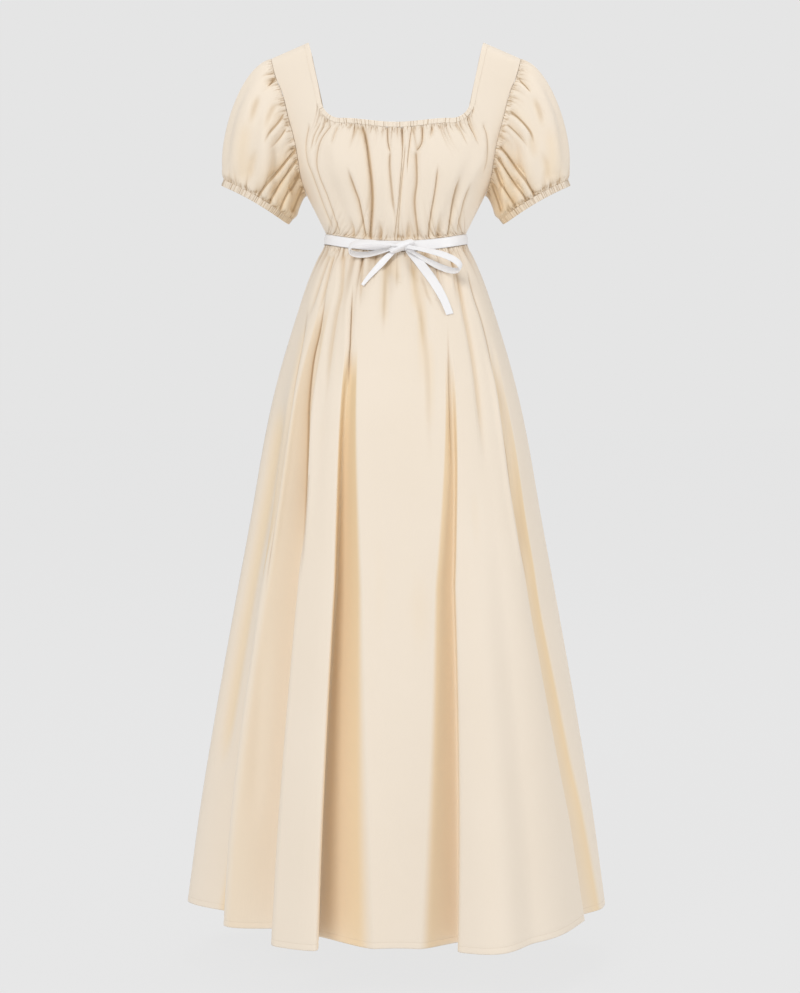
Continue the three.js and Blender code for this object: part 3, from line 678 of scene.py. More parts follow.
# %% Camera
camera_data = bpy.data.cameras.new("camera")
camera_data.lens = 77.04
camera_data.sensor_width = 36
camera = add("camera", camera_data)
camera.location = (0.0064, -3.4, -0.553)
camera.rotation_euler = ((90 - 2.6) * RAD, 0, 0)
bpy.context.scene.camera = camera
bpy.context.scene.view_settings.view_transform = "Standard"

# %% Floor
FLOOR = -1.45
FLOOR_WIDE = 60
WALLS = colour(229, 229, 229)


def pale_floor():
    """A wide disc that mostly glows evenly, as a floor flooded with studio light does."""
    angle = np.linspace(0, 2 * np.pi, 96, endpoint=False)
    rim = vectors(FLOOR_WIDE * np.cos(angle), FLOOR_WIDE * np.sin(angle), FLOOR)
    mesh = bpy.data.meshes.new("floor")
    mesh.from_pydata(rim.tolist(), [], [list(range(len(rim)))])
    obj = add("floor", mesh)
    made = Finish("pale_floor")
    made.set(Base_Color=colour(60, 60, 61), Roughness=0.9 + made.cloud(0.6, 2.0) * 0.05)
    made.set(Emission_Color=WALLS, Emission_Strength=0.965, Specular_IOR_Level=0.0)
    mesh.materials.append(made.material)


pale_floor()

# %% [markdown]
# The studio's walls are seen as they are, but light the dress less than they show: a paper
# background is lit by lamps of its own. The strongest light is a large window in front, a little to
# the left and above, so that it reaches down into the folds. A weaker one stands on the right, and
# one hangs above and behind.

# %% Light
AMBIENT = 0.69
WINDOW = 3.0  # metres along one side of a light


def studio():
    """A world that shows the walls' grey and gives off a share of it as light."""
    world = bpy.data.worlds.new("studio")
    bpy.context.scene.world = world
    world.use_nodes = True
    nodes = world.node_tree.nodes
    links = world.node_tree.links
    shown = nodes["Background"]
    shown.inputs[0].default_value = WALLS
    given = nodes.new("ShaderNodeBackground")
    given.inputs[0].default_value = WALLS
    given.inputs[1].default_value = AMBIENT
    seen = nodes.new("ShaderNodeLightPath")
    either = nodes.new("ShaderNodeMixShader")
    links.new(seen.outputs["Is Camera Ray"], either.inputs[0])
    links.new(given.outputs[0], either.inputs[1])
    links.new(shown.outputs[0], either.inputs[2])
    links.new(either.outputs[0], nodes["World Output"].inputs[0])


def soft_light(name, place, aim, power):
    """A square area light that looks from its place towards a point."""
    data = bpy.data.lights.new(name, "AREA")
    data.size = WINDOW
    data.energy = power
    backwards = unit(np.array(place, float) - np.array(aim, float))
    sideways = unit(np.cross([0, 0, 1], backwards))
    turned = np.eye(4)
    turned[:3, 0] = sideways
    turned[:3, 1] = np.cross(backwards, sideways)
    turned[:3, 2] = backwards
    turned[:3, 3] = place
    add(name, data).matrix_world = turned.T.tolist()


studio()
soft_light("key", (-2.8, -6.0, 3.6), (0, 0, -0.6), 212)
soft_light("fill", (6.6, -2.4, 0.8), (0, 0, -0.7), 102)
soft_light("top", (0.5, 2.0, 7.0), (0, 0, -0.4), 140)

# %% [markdown]
# ## The skirt
# Front and back are one panel each, joined at the side seams. The grid's columns follow the valleys
# down, so a fold's steep sides always have points on them, and its rows crowd at the gathered top
# and at the hem.

# %% The skirt's form
FOLD_NARROW = 0.35
FOLD_EASE = 0.9
HOLLOW_EASE = 1.3
DIP_FADE = 0.3
VALLEY_SHARE = 2.5  # how much closer the columns stand in a valley
SKIRT_DEEPEST = 12  # no gather or crease goes deeper
TOP_DEEP = 40  # stretch of crowded rows under the waist
HEM_DEEP = 16  # and above the hem's edge
SKIRT_TOP = SKIRT["drop"][0]
SKIRT_ROWS = np.linspace(0, len(SKIRT["drop"]) - 1, 4001)
SKIRT_DROPS = along(SKIRT["drop"], SKIRT_ROWS)


def fold_at(fold, drop):
    """Where a valley's floor is, how wide it is and how far it has opened, at a drop."""
    waist, middle, hem, wide, _, _, opens, _ = fold
    share = (drop - SKIRT_TOP) / (HEM - SKIRT_TOP)
    floor_angle = np.interp(share, [0, 0.5, 1], [waist, middle, hem])
    opened = np.clip((drop - opens) / (HEM - opens), 0, 1) ** FOLD_EASE
    return floor_angle, wide * mix(FOLD_NARROW, 1, share), opened


def skirt_point(angle, drop):
    """A point of the skirt, the warm shade painted for how deep in a valley it lies, and the dark shade
    painted on a valley's lit side near its rim: the section, moved in by the valleys and hollows, and
    sideways where a valley's floor slides under a flap."""
    row = np.interp(drop, SKIRT_DROPS, SKIRT_ROWS)
    share = (drop - SKIRT_TOP) / (HEM - SKIRT_TOP)
    square = SQUARE * (1 - share)
    x = along(SKIRT["half"], row) * across(angle, square)
    y = -depth_of(SKIRT, angle, row) * through(angle, square)
    away = np.hypot(x, y)
    out_x = x / away
    out_y = y / away
    inward = 0.0
    sideways = 0.0
    shade = 0.0
    wall_shade = 0.0
    for fold in FOLDS:
        floor_angle, wide, opened = fold_at(fold, drop)
        deep, lean, _, warm = fold[4:]
        valley = hump(turn(angle, floor_angle) / wide)
        inward = inward + deep * opened * valley
        sideways = sideways + lean * opened * valley
        # Painted shade: each valley's own warm shade, and a darker one on its side near the rim.
        shade_tone = warm * smooth(deep * opened / 7)
        rim = smooth(valley / mix(0.1, 0.25, share))
        shade = np.maximum(shade, shade_tone * rim * (1 - 0.85 * valley * share))
        wall_shade = np.maximum(wall_shade, shade_tone * shade_tone * rim * (1 - smooth((valley - 0.45) / 0.4)))
    wall_shade = wall_shade * np.clip(1.3 - 1.7 * share, 0, 1.2)
    for at, wide, hollow in HOLLOWS:
        inward = inward + hollow * np.maximum(share, 0) ** HOLLOW_EASE * hump(turn(angle, at) / wide)
    dip = waist_dip(angle) * (1 - smooth(share / DIP_FADE))
    moved_x = x - inward * out_x - sideways * out_y
    moved_y = y - inward * out_y + sideways * out_x
    return vectors(moved_x, moved_y, LEVEL - drop - dip), shade, wall_shade


def skirt_grid(start, end, drops, columns):
    """Angles of a panel's grid. Guides at the valleys' edges and floors run down the skirt, and the
    columns are shared out between them by how wide each stretch is at the hem, closer in valleys."""
    guides = [np.full(len(drops), float(start))]
    weights = []
    for fold in [f for f in FOLDS if start < f[2] < end]:
        floor_angle, wide, _ = fold_at(fold, drops)
        for off in (-1, -0.5, 0, 0.5, 1):
            line = floor_angle + off * wide
            weights.append((line[-1] - guides[-1][-1]) * (1.0 if off == -1 else VALLEY_SHARE))
            guides.append(line)
    weights.append(end - guides[-1][-1])
    guides.append(np.full(len(drops), float(end)))
    edges = np.concatenate([[0], np.cumsum(weights)])
    place = np.interp(np.linspace(0, edges[-1], columns), edges, np.arange(len(edges)))
    i = np.minimum(place.astype(int), len(edges) - 2)
    t = place - i
    guides = np.stack(guides, 1)
    return guides[:, i] * (1 - t) + guides[:, i + 1] * t


# %% [markdown]
# Lines of the skirt's creases, as (sideways, drop) points. A row is the path, the width of the soft
# side, the depth, the crisp side, and how long its ends fade.

# %% Creases of the skirt
LEFT_CREASE = [(-106, 380), (-118, 457), (-127, 504), (-133, 566), (-135, 627), (-138, 719), (-144, 850)]
FRONT_FOLDS = [
    ([(-82, 336), (-85, 395), (-93, 436), (-102, 504), (-108, 590)], 5, 5, 0, (8, 110)),
    (LEFT_CREASE, 10, 9, 1, (90, 160)),
    ([(-136, 415), (-155, 519), (-164, 581), (-174, 658), (-188, 760), (-201, 871)], 9, 7, 1, (70, 130)),
    ([(-201, 871), (-209, 1021), (-215, 1140), (-222, 1250)], 15, 4, 0, (130, 120)),
    ([(-17, 338), (-17, 390), (-19, 440), (-20, 475)], 5.5, 6.5, 0, (8, 60)),
    ([(26, 345), (33, 405), (42, 457), (47, 504), (50, 597), (54, 690)], 7, 8, 0, (20, 200)),
    ([(38, 368), (48, 400), (58, 428)], 4, 4.5, 0, (15, 25)),
    ([(79, 440), (81, 504), (84, 597), (86, 700)], 5, 4, 1, (90, 110)),
    ([(96, 365), (106, 426), (115, 473), (124, 535), (130, 597), (136, 680)], 5.5, 5, 0, (30, 120)),
    ([(112, 364), (121, 402), (134, 442), (146, 492), (158, 547)], 4.5, 4.5, -1, (20, 60)),
    ([(146, 492), (158, 547), (170, 635), (179, 704), (188, 760), (204, 860)], 10, 10.5, -1, (70, 120)),
    ([(143, 480), (148, 500), (158, 547), (168, 618), (174, 665)], 4.5, 5.5, -1, (40, 90)),
    ([(190, 800), (217, 885), (243, 1021), (268, 1140), (280, 1220)], 15, 5, 0, (120, 100)),
    ([(4, 338), (2, 372), (1, 400)], 3.5, 6, 0, (6, 30)),
    ([(-8, 338), (-9, 365), (-10, 385)], 2.6, 4.5, 0, (6, 22)),
    ([(13, 338), (14, 362), (13, 380)], 2.6, 5, 0, (6, 22)),
    ([(22, 338), (25, 360), (26, 385)], 3, 5, 0, (6, 30)),
    ([(-30, 338), (-33, 362), (-34, 392)], 3, 4, 0, (6, 30)),
    ([(-52, 338), (-53, 380), (-56, 430)], 3.5, 3.5, 0, (6, 40)),
    ([(-66, 380), (-69, 430), (-71, 500), (-73, 560)], 3.2, 6, -1, (60, 60)),
    ([(60, 345), (66, 375), (70, 410)], 3, 4, 0, (8, 40)),
    ([(86, 338), (92, 380), (96, 430)], 3.5, 3.5, 0, (8, 60)),
    ([(-98, 336), (-112, 395), (-124, 440)], 3.5, 4.5, 0, (8, 50)),
    ([(-104, 334), (-122, 390), (-140, 450)], 3.5, 4, 0, (8, 60)),
    ([(-178, 540), (-203, 700), (-231, 860), (-261, 1040), (-286, 1200)], 11, 8, 0, (90, 140)),
    ([(30, 700), (36, 900), (30, 1100)], 26, 4, 0, (200, 250)),
    ([(-30, 620), (-24, 860), (-30, 1150)], 22, 3, 0, (200, 300)),
    ([(-110, 520), (-116, 640), (-128, 800)], 9, 3, 0, (100, 200)),
    ([(112, 600), (122, 760), (128, 960)], 16, 3.5, 0, (150, 250)),
]
BACK_FOLDS = [
    ([(-20, 325), (-24, 440), (-27, 560), (-26, 660)], 5, 7, 1, (10, 120)),
    ([(34, 325), (42, 430), (50, 540), (54, 640)], 7, 7, -1, (10, 150)),
    ([(8, 325), (12, 400), (14, 480)], 5, 5, 0, (8, 90)),
    ([(70, 330), (84, 450), (96, 580), (104, 700), (112, 820)], 8, 8, -1, (30, 180)),
    ([(-52, 330), (-64, 440), (-76, 560), (-84, 700), (-90, 800)], 8, 7, 1, (30, 150)),
    ([(-84, 335), (-104, 450), (-124, 600), (-140, 760)], 9, 8, 1, (40, 200)),
    ([(100, 335), (126, 470), (146, 620), (164, 800), (178, 940)], 9, 8, -1, (40, 220)),
    ([(20, 325), (22, 360), (24, 395)], 3, 5, 0, (6, 30)),
    ([(-6, 325), (-8, 355), (-8, 385)], 3, 5, 0, (6, 30)),
    ([(-38, 325), (-42, 370), (-46, 410)], 3.5, 5, 0, (6, 40)),
    ([(56, 325), (62, 370), (68, 420)], 3.5, 5, 0, (6, 40)),
    ([(-70, 325), (-78, 370), (-84, 410)], 3.5, 4, 0, (6, 40)),
    ([(88, 328), (98, 380), (106, 420)], 3.5, 4, 0, (6, 40)),
    ([(20, 640), (30, 860), (24, 1080)], 24, 4, 0, (180, 250)),
    ([(-150, 640), (-176, 860), (-196, 1080)], 14, 5, 1, (150, 220)),
    ([(190, 760), (214, 960), (236, 1160)], 14, 5, -1, (150, 220)),
]


def skirt_panel(name, start, end, columns, seed, table, facing):
    """The panel's points, with its gathers and creases raised from the form. Its top swells out a
    little to the ribbon, and its hem is turned up and stitched, so that it is a little proud."""
    top = np.linspace(SKIRT_TOP, SKIRT_TOP + TOP_DEEP, 16)
    middle = np.linspace(SKIRT_TOP + TOP_DEEP, HEM - HEM_DEEP, 122)
    bottom = np.linspace(HEM - HEM_DEEP, HEM, 9)
    drops = np.concatenate([top[:-1], middle[:-1], bottom])
    angle = skirt_grid(start, end, drops, columns)
    drop = drops[:, None]
    points, shade, wall_shade = skirt_point(angle, drop)
    points[..., 1] += facing * GAP / 2
    away = run(points, 0)
    rise = 0.55 + 0.45 * smooth(away / 8)
    place = (angle - start) * GATHER_WIDE
    drawn = gathers("skirt", place, away, seed, 0, (end - start) * GATHER_WIDE) * rise
    long, lines = creases(points, table, facing)
    height = np.maximum(drawn + long, -SKIRT_DEEPEST)
    # Painted shade: warm where creases lie deep, dark in the gathers and on a valley's lit side.
    shade = np.clip(np.maximum(shade, -(height + 2.5) / 10), 0, 1)
    shade_and_hem = (shade, np.maximum(narrow(1.25 * drawn), 0.32 * wall_shade), HEM - drop)
    height = height + 1.2 * (1 - smooth(away / 16)) - 0.45 * hump((HEM - drop - HEM_LINE) / 2.5)
    seam = smooth((angle - start) / 1.2) * smooth((end - angle) / 1.2)
    height = height * mix(0.15, 1, seam)
    points = points + directions(points) * height[..., None]
    return cloth(name, points, shade_and_hem=shade_and_hem, seams=(place, away, FAR), lines=lines)


# %% Both skirt panels
skirt_front = skirt_panel("front_skirt_cloth", -90, 90, 334, 11, FRONT_FOLDS, -1)
finish_piece(skirt_front, "skirt_front", CREAM)
skirt_back = skirt_panel("back_skirt_cloth", 90, 270, 240, 23, BACK_FOLDS, 1)
finish_piece(skirt_back, "skirt_back", CREAM)

# %% [markdown]
# ## The bodice
# Each panel is one piece of cloth, straps included. Its columns run from the neck's edge out to the
# waist, the side seam and the armhole, so that the gathers of the neck and of the waist both follow
# them. The straps stay smooth.

# %% Edges of a bodice panel
NECK_TURN = (11 / 24, 15 / 24)
OUTER_TURN = (10 / 24, 12 / 24)
GATHERED_TO = 0.68
NECK_SEAM = 150  # millimetres of gathers each way from the middle
WAIST_SEAM = 158
PANEL_LEAN = 1.3  # how the rows of a panel gather towards the neck
PANEL_EASE = 1.4


def neck_places(columns, rest):
    """Places from one shoulder (-1) by centre front (0) to the other (1): a number of columns as
    far as the end of each corner, and the rest up each strap."""
    s = np.concatenate([np.linspace(0, NECK_TURN[1], columns)[:-1], np.linspace(NECK_TURN[1], 1, rest)])
    return np.concatenate([-s[:0:-1], s])


def neck_gathered(s):
    """How gathered the neck is: fully along its bottom edge, not at all on the strap."""
    return smooth((GATHERED_TO - np.abs(s)) / 0.1)


def neck_edge(s, margin):
    """The neck's edge set back by a margin, from centre front (0) to the shoulder (1): across, a
    quarter turn round the corner, then up the strap."""
    radius = NECK_RADIUS + margin
    middle = NECK_ANGLE - NECK_RADIUS / DEGREE_WIDE
    level = NECK_DROP - NECK_RADIUS
    out = np.clip(s / NECK_TURN[0], 0, 1)
    sag = NECK_SAG * np.cos(out * np.pi / 2) ** 2
    round_it = np.clip((s - NECK_TURN[0]) / (NECK_TURN[1] - NECK_TURN[0]), 0, 1) * np.pi / 2
    up = np.clip((s - NECK_TURN[1]) / (1 - NECK_TURN[1]), 0, 1)
    angle = middle * out + radius / DEGREE_WIDE * np.sin(round_it) + NECK_FLARE * smooth(up)
    row = trunk_row(level + radius * np.cos(round_it) + sag) * (1 - up)
    return angle, row


def armhole_row(up):
    """Row of the armhole's edge, from the underarm (0) to the shoulder (1)."""
    return (len(ARMHOLE) - 1) * np.clip(1 - up, 0, 1) ** ARMHOLE_EASE


def armhole_angle(row):
    """Angle of the armhole's edge at a row."""
    return along(ARMHOLE, row, 0, ARMHOLE_TURN)


def outer_edge(s):
    """The panel's other edge: half the waist, the side seam, then the armhole."""
    waist_row = len(TRUNK["drop"]) - 1
    up_side = np.clip((s - OUTER_TURN[0]) / (OUTER_TURN[1] - OUTER_TURN[0]), 0, 1)
    row = armhole_row(np.clip((s - OUTER_TURN[1]) / (1 - OUTER_TURN[1]), 0, 1))
    low = s <= OUTER_TURN[1]
    angle = np.where(low, 90 * np.clip(s / OUTER_TURN[0], 0, 1), armhole_angle(row))
    return angle, np.where(low, mix(waist_row, len(ARMHOLE) - 1, up_side), row)


# %% Creases of the bodice
FRONT_CREASES = [
    ([(-134, 136), (-141, 167), (-139, 195), (-130, 220), (-112, 269), (-97, 305)], 3.2, 4.0, 1, (10, 25)),
    ([(-116, 134), (-128, 158), (-133, 184)], 3, 3.5, 1, (8, 18)),
    ([(-109, 137), (-121, 157), (-127, 178)], 2.6, 3, 1, (8, 16)),
    ([(-99, 139), (-117, 165), (-123, 195), (-119, 220), (-105, 256), (-87, 312)], 3.4, 4.6, 1, (8, 15)),
    ([(-88, 139), (-96, 158), (-101, 176)], 2.6, 3, 0, (8, 16)),
    ([(-76, 205), (-64, 240), (-56, 264), (-46, 318)], 6, 6, 1, (30, 10)),
    ([(-53, 139), (-45, 165), (-40, 196), (-36, 240), (-36, 275), (-39, 322)], 6, 8, 1, (8, 8)),
    ([(-13, 139), (-12, 168), (-8, 186)], 3, 5.5, 1, (6, 8)),
    ([(-8, 180), (-9, 208), (-4, 262), (0, 296)], 6, 4.5, 1, (12, 40)),
    ([(9, 139), (11, 175), (6, 243), (-3, 326)], 2.6, 4.5, 1, (6, 8)),
    ([(15, 170), (13, 200), (8, 250), (2, 326)], 2.4, 4, -1, (15, 8)),
    ([(25, 140), (20, 181), (17, 225)], 2.6, 4.5, -1, (6, 30)),
    ([(42, 139), (40, 168), (30, 184)], 3, 6.5, 1, (6, 8)),
    ([(31, 180), (32, 228), (29, 264), (35, 322)], 5, 5.5, 1, (10, 10)),
    ([(57, 139), (52, 168)], 2.6, 4, 0, (6, 16)),
    ([(65, 200), (61, 240), (53, 290), (51, 320)], 5, 5, -1, (25, 10)),
    ([(101, 215), (88, 262), (81, 316)], 6, 5.5, -1, (30, 10)),
    ([(96, 139), (104, 156), (112, 176)], 2.6, 3.5, -1, (6, 18)),
    ([(112, 135), (122, 155), (130, 176)], 2.6, 3.5, -1, (6, 18)),
    ([(134, 134), (143, 158), (143, 195), (134, 216)], 3.4, 4.5, -1, (10, 20)),
    ([(118, 226), (106, 262), (97, 306)], 4.5, 4.5, -1, (25, 12)),
    ([(-26, 282), (-24, 326)], 3, 4.5, 0, (25, 6)),
    ([(20, 286), (18, 326)], 3, 4.5, 0, (25, 6)),
    ([(70, 270), (67, 322)], 3.4, 4.5, 0, (35, 6)),
    ([(-72, 276), (-66, 318)], 3.4, 4.5, 0, (30, 6)),
]
BACK_CREASES = [
    ([(-46, 140), (-42, 190), (-40, 250), (-38, 303)], 5, 6, 1, (10, 10)),
    ([(-10, 142), (-12, 190), (-8, 240), (-6, 303)], 4, 5.5, 1, (10, 10)),
    ([(34, 140), (38, 190), (34, 250), (30, 303)], 5, 6, -1, (10, 10)),
    ([(76, 138), (84, 190), (76, 250), (64, 303)], 6, 6, -1, (10, 10)),
    ([(-84, 138), (-92, 190), (-84, 250), (-70, 303)], 6, 6, 1, (10, 10)),
    ([(120, 150), (118, 200), (100, 260), (88, 303)], 6, 6, -1, (25, 10)),
    ([(-122, 150), (-118, 200), (-102, 260), (-90, 303)], 6, 6, 1, (25, 10)),
    ([(12, 142), (13, 178)], 3, 4.5, 0, (6, 20)),
    ([(56, 142), (58, 182)], 3, 4.5, 0, (6, 20)),
    ([(-64, 142), (-68, 186)], 3, 4.5, 0, (6, 20)),
    ([(-26, 142), (-28, 176)], 3, 4.5, 0, (6, 20)),
    ([(12, 250), (12, 303)], 4, 5, 0, (35, 6)),
    ([(-24, 240), (-22, 303)], 4, 5, 0, (35, 6)),
    ([(50, 250), (46, 303)], 4, 5, 0, (35, 6)),
]


def bodice_panel(name, back, columns, seed, table):
    """The panel's points between its two edges, raised by the gathers that hang from the neck
    casing, those that stand on the waist, and the listed creases."""
    s = neck_places(columns, 46)
    s = s[::-1] if back else s
    r = np.linspace(0, 1, 96)[:, None]
    inner_angle, inner_row = neck_edge(np.abs(s), NECK_CASING)
    outer_angle, outer_row = outer_edge(np.abs(s))
    angle = mix(inner_angle, outer_angle, r**PANEL_LEAN) * np.sign(s)
    angle = 180 - angle if back else angle
    row = mix(inner_row, outer_row, 1 - (1 - r) ** PANEL_EASE)
    facing = 1 if back else -1
    points = trunk_point(angle, row)
    points[..., 1] += facing * GAP / 2
    away = run(points, 0)
    above = away[-1:] - away
    place = run(points, 1)[:1]
    place = place - place[:, place.shape[1] // 2][:, None]
    gathered = neck_gathered(s)
    high = gathers("neck", place, away, seed, -NECK_SEAM, NECK_SEAM) * gathered
    high = high * (0.6 + 0.4 * smooth(away / 4))
    on_waist = smooth((OUTER_TURN[0] + 0.01 - np.abs(s)) / 0.03)
    waist_place = (outer_angle * np.sign(s) * GATHER_WIDE)[None]
    low = gathers("waist", waist_place, above, seed + 2, -WAIST_SEAM, WAIST_SEAM)
    low = low * on_waist * (0.5 + 0.5 * smooth(above / 5))
    long, lines = creases(points, table, facing)
    height = high + low + long
    edge = mix(0.45, 1, smooth(away / 4)) * mix(0.5, 1, smooth(above / 5))
    height = np.maximum(height, -DEEPEST) * edge
    height = height * mix(smooth(above / 12), 1, on_waist)
    # Painted shade: warm where creases and gathers lie deep, dark in the deepest gathers of neck and
    # waist.
    shade_and_hem = (np.clip(-(height + 1.5) / 12, 0, 0.7), narrow(0.92 * np.minimum(high, low)), FAR)
    height = height + 1.0 * on_waist * (1 - smooth(above / 12))
    points = points + directions(points) * height[..., None]
    place = np.where(away < above, place, waist_place)
    seams = (place, away + FAR * (1 - gathered), above + FAR * (1 - on_waist))
    return cloth(name, points, shade_and_hem=shade_and_hem, seams=seams, lines=lines)


# %% Both bodice panels
bodice_front = bodice_panel("front_bodice_cloth", False, 165, 31, FRONT_CREASES)
finish_piece(bodice_front, "bodice_front", CREAM)
bodice_back = bodice_panel("back_bodice_cloth", True, 120, 47, BACK_CREASES)
finish_piece(bodice_back, "bodice_back", CREAM)

# %% [markdown]
# ## Neck casing
# A narrow casing with elastic inside runs all round the neck. Along the bottom edge it is drawn up
# into fine ruffles; on the straps it lies flat. Its section is a small rounded bar.

# %% Neck casing
def neck_casing():
    """The casing's two edges are the neck's edge and the same edge set back by its width. Ruffles
    are a sine wave with an uneven beat, faded out up the straps."""
    s = neck_places(230, 60)[:-1]
    sides = []
    for margin in (0, NECK_CASING):
        angle, row = neck_edge(np.abs(s), margin)
        angle = np.concatenate([angle * np.sign(s), 180 + angle * np.sign(s)])
        sides.append(trunk_point(angle, np.concatenate([row, row])))
    edge, far = sides
    out = directions(np.stack([edge, (edge + far) / 2, far]), ring=True)[1]
    place = run(np.concatenate([edge, edge[:1]])[None], 1)[0, :-1]
    beat = np.sin(place * 1.45 + 2.2 * np.sin(place * 0.21)) * 0.22 + 0.1 * np.sin(place * 3.1)
    gathered = neck_gathered(np.concatenate([s, s]))
    return casing("neck_casing_cloth", edge, far, out, CASING - 0.4, beat, place, gathered)


neck = finish_piece(neck_casing(), "neck_casing", CREAM)

# %% [markdown]
# ## Waist casing and ribbon
# The waist is drawn in by a shirred casing, and the ribbon lies round it. The ribbon is never quite
# flat: it waves a little where the casing's ruffles push it out.

# %% Waist casing and ribbon band
BAND_OUT = CASING / 2 + GAP + 0.5


def waist_line(angle, drop, out):
    """A point at a level of the waist, moved straight out."""
    share = (drop - WAIST_TOP) / WAIST_DEEP
    sizes = [mix(TRUNK[title][-1], SKIRT[title][0], share) + out for title in ("half", "front", "back")]
    half, front, back = sizes
    depth = np.where(np.cos(angle * RAD) >= 0, front, back)
    return vectors(half * across(angle), -depth * through(angle), LEVEL - drop - waist_dip(angle))


def waist_casing():
    """A closed tube with ruffles, as round the neck."""
    angle = np.linspace(-180, 180, 520, endpoint=False)
    edge = waist_line(angle, WAIST_TOP + GAP, 0)
    far = waist_line(angle, WAIST_TOP + WAIST_DEEP - GAP, 0)
    out = directions(np.stack([edge, far]), ring=True)[0]
    place = angle * GATHER_WIDE
    ruffle = 0.22 * np.sin(place * 1.3 + 2 * np.sin(place * 0.17)) + 0.1 * np.sin(place * 2.9)
    return casing("waist_casing_cloth", edge, far, out, CASING - 0.3, ruffle, place, np.ones(520))


def ribbon_band():
    """A strip round the waist, with slow waves in and out and a slight crown across its width."""
    angle = np.linspace(-180, 180, 420, endpoint=False)
    across_it = np.linspace(0, 1, 9)[:, None]
    drop = mix(WAIST_TOP + 0.6, WAIST_TOP + WAIST_DEEP - 0.6, across_it)
    crown = 0.4 * (1 - (2 * across_it - 1) ** 2)
    wave = 0.3 * np.sin(angle * 0.22 + 4 * across_it) + 0.2 * np.sin(angle * 0.61)
    points = waist_line(angle + 0 * drop, drop + 0 * angle, BAND_OUT + crown + 0.2 + wave * 0.5)
    return cloth("ribbon_band_satin", points, ring=True, thick=RIBBON)


waist = finish_piece(waist_casing(), "waist_casing", CREAM)
band = finish_piece(ribbon_band(), "ribbon_band", WHITE)

# %% [markdown]
# ## Sleeves
# A sleeve leaves the armhole, swells and is drawn in again by its casing. Each line along it is a
# cubic between the armhole's seam and the casing's loop. Gathers stand on the seam and on the
# casing, and long folds run between the two, deepest under the arm.

# %% The sleeve's form
CUFF = {"x": 219, "drop": 247, "tilt": 30, "across": 61.5, "through": 45, "arch": 5, "behind": 4}
PUFF = {"rise": 12, "more": 78, "swell": (0.74, 1.25), "down": 0.5, "gather": (0.56, 0.8)}
SLEEVE_FOLDS = [
    # round, wide, deep
    (0.09, 0.06, 6),
    (0.21, 0.06, 9),
    (0.33, 0.06, 11),
    (0.45, 0.06, 5),
    (0.62, 0.06, 7),
    (0.75, 0.06, 10),
    (0.9, 0.06, 6),
]
CUFF_ROUND = 340
ARMHOLE_MIDDLE = np.array([200, 0, -120])
CUFF_AXIS = np.array([np.sin(CUFF["tilt"] * RAD), 0, -np.cos(CUFF["tilt"] * RAD)])
CUFF_SPREAD = np.array([np.cos(CUFF["tilt"] * RAD), 0, np.sin(CUFF["tilt"] * RAD)])


def armhole_seam(share):
    """Points of the armhole from the shoulder (0) by the front to the underarm (0.5) and back up
    behind, with the cloth's outer direction and the direction into the hole."""

    def place(u):
        row = armhole_row(np.abs(2 * np.abs(u) - 1))
        behind = (u > 0.5) | (u < 0)
        angle = armhole_angle(row)
        return np.where(behind, 180 - angle, angle), row

    angle, row = place(share)
    down = trunk_point(angle, row + 0.02) - trunk_point(angle, np.maximum(row - 0.02, 0))
    around = trunk_point(angle + 0.2, row) - trunk_point(angle - 0.2, row)
    out = unit(np.cross(down, around))
    step = trunk_point(*place(share + 0.002)) - trunk_point(*place(share - 0.002))
    into = unit(np.cross(step, out))
    point = trunk_point(angle, row)
    inwards = ((ARMHOLE_MIDDLE - point) * into).sum(-1, keepdims=True)
    return point, out, np.where(inwards < 0, -into, into)


def cuff_loop(share):
    """Points of the loop that the casing holds, and the direction straight out from it."""
    turned = 2 * np.pi * share[..., None]
    outward = CUFF_SPREAD * CUFF["across"] * np.cos(turned)
    outward = outward + np.array([0, -CUFF["through"], 0]) * np.sin(turned)
    up = CUFF["arch"] * np.sin(turned) ** 2 - CUFF["behind"] * np.sin(turned)
    middle = np.array([CUFF["x"], 0, LEVEL - CUFF["drop"]])
    return middle + outward - CUFF_AXIS * up, unit(outward)


def sleeve_form(share, t):
    """Right sleeve: a cubic along t from the seam to the loop, which leaves the seam towards the
    hole and outwards, and comes to the loop from outside it, less the broad folds."""
    seam, out, into = armhole_seam(share)
    loop, outward = cuff_loop(share)
    rise = ((PUFF["rise"] + PUFF["more"] * np.sin(np.pi * share)) * RAD)[..., None]
    leaves = into * np.cos(rise) + out * np.sin(rise)
    start = seam + leaves * (GAP + 0.8 * np.sin(rise))
    length = np.linalg.norm(loop - start, axis=-1, keepdims=True)
    side = np.sin(2 * np.pi * share[..., None]) ** 2
    swell = leaves * length * mix(*PUFF["swell"], side)
    drawn = CUFF_AXIS * PUFF["down"] * length - outward * length * mix(*PUFF["gather"], side)
    points = start * (2 * t**3 - 3 * t**2 + 1) + loop * (3 * t**2 - 2 * t**3)
    points = points + swell * (t**3 - 2 * t**2 + t) + drawn * (t**3 - t**2)
    inward = sum(deep * hump((share - at) / wide) for at, wide, deep in SLEEVE_FOLDS)[..., None]
    return points - outward * inward * smooth(t / 0.4) * smooth((1 - t) / 0.35)


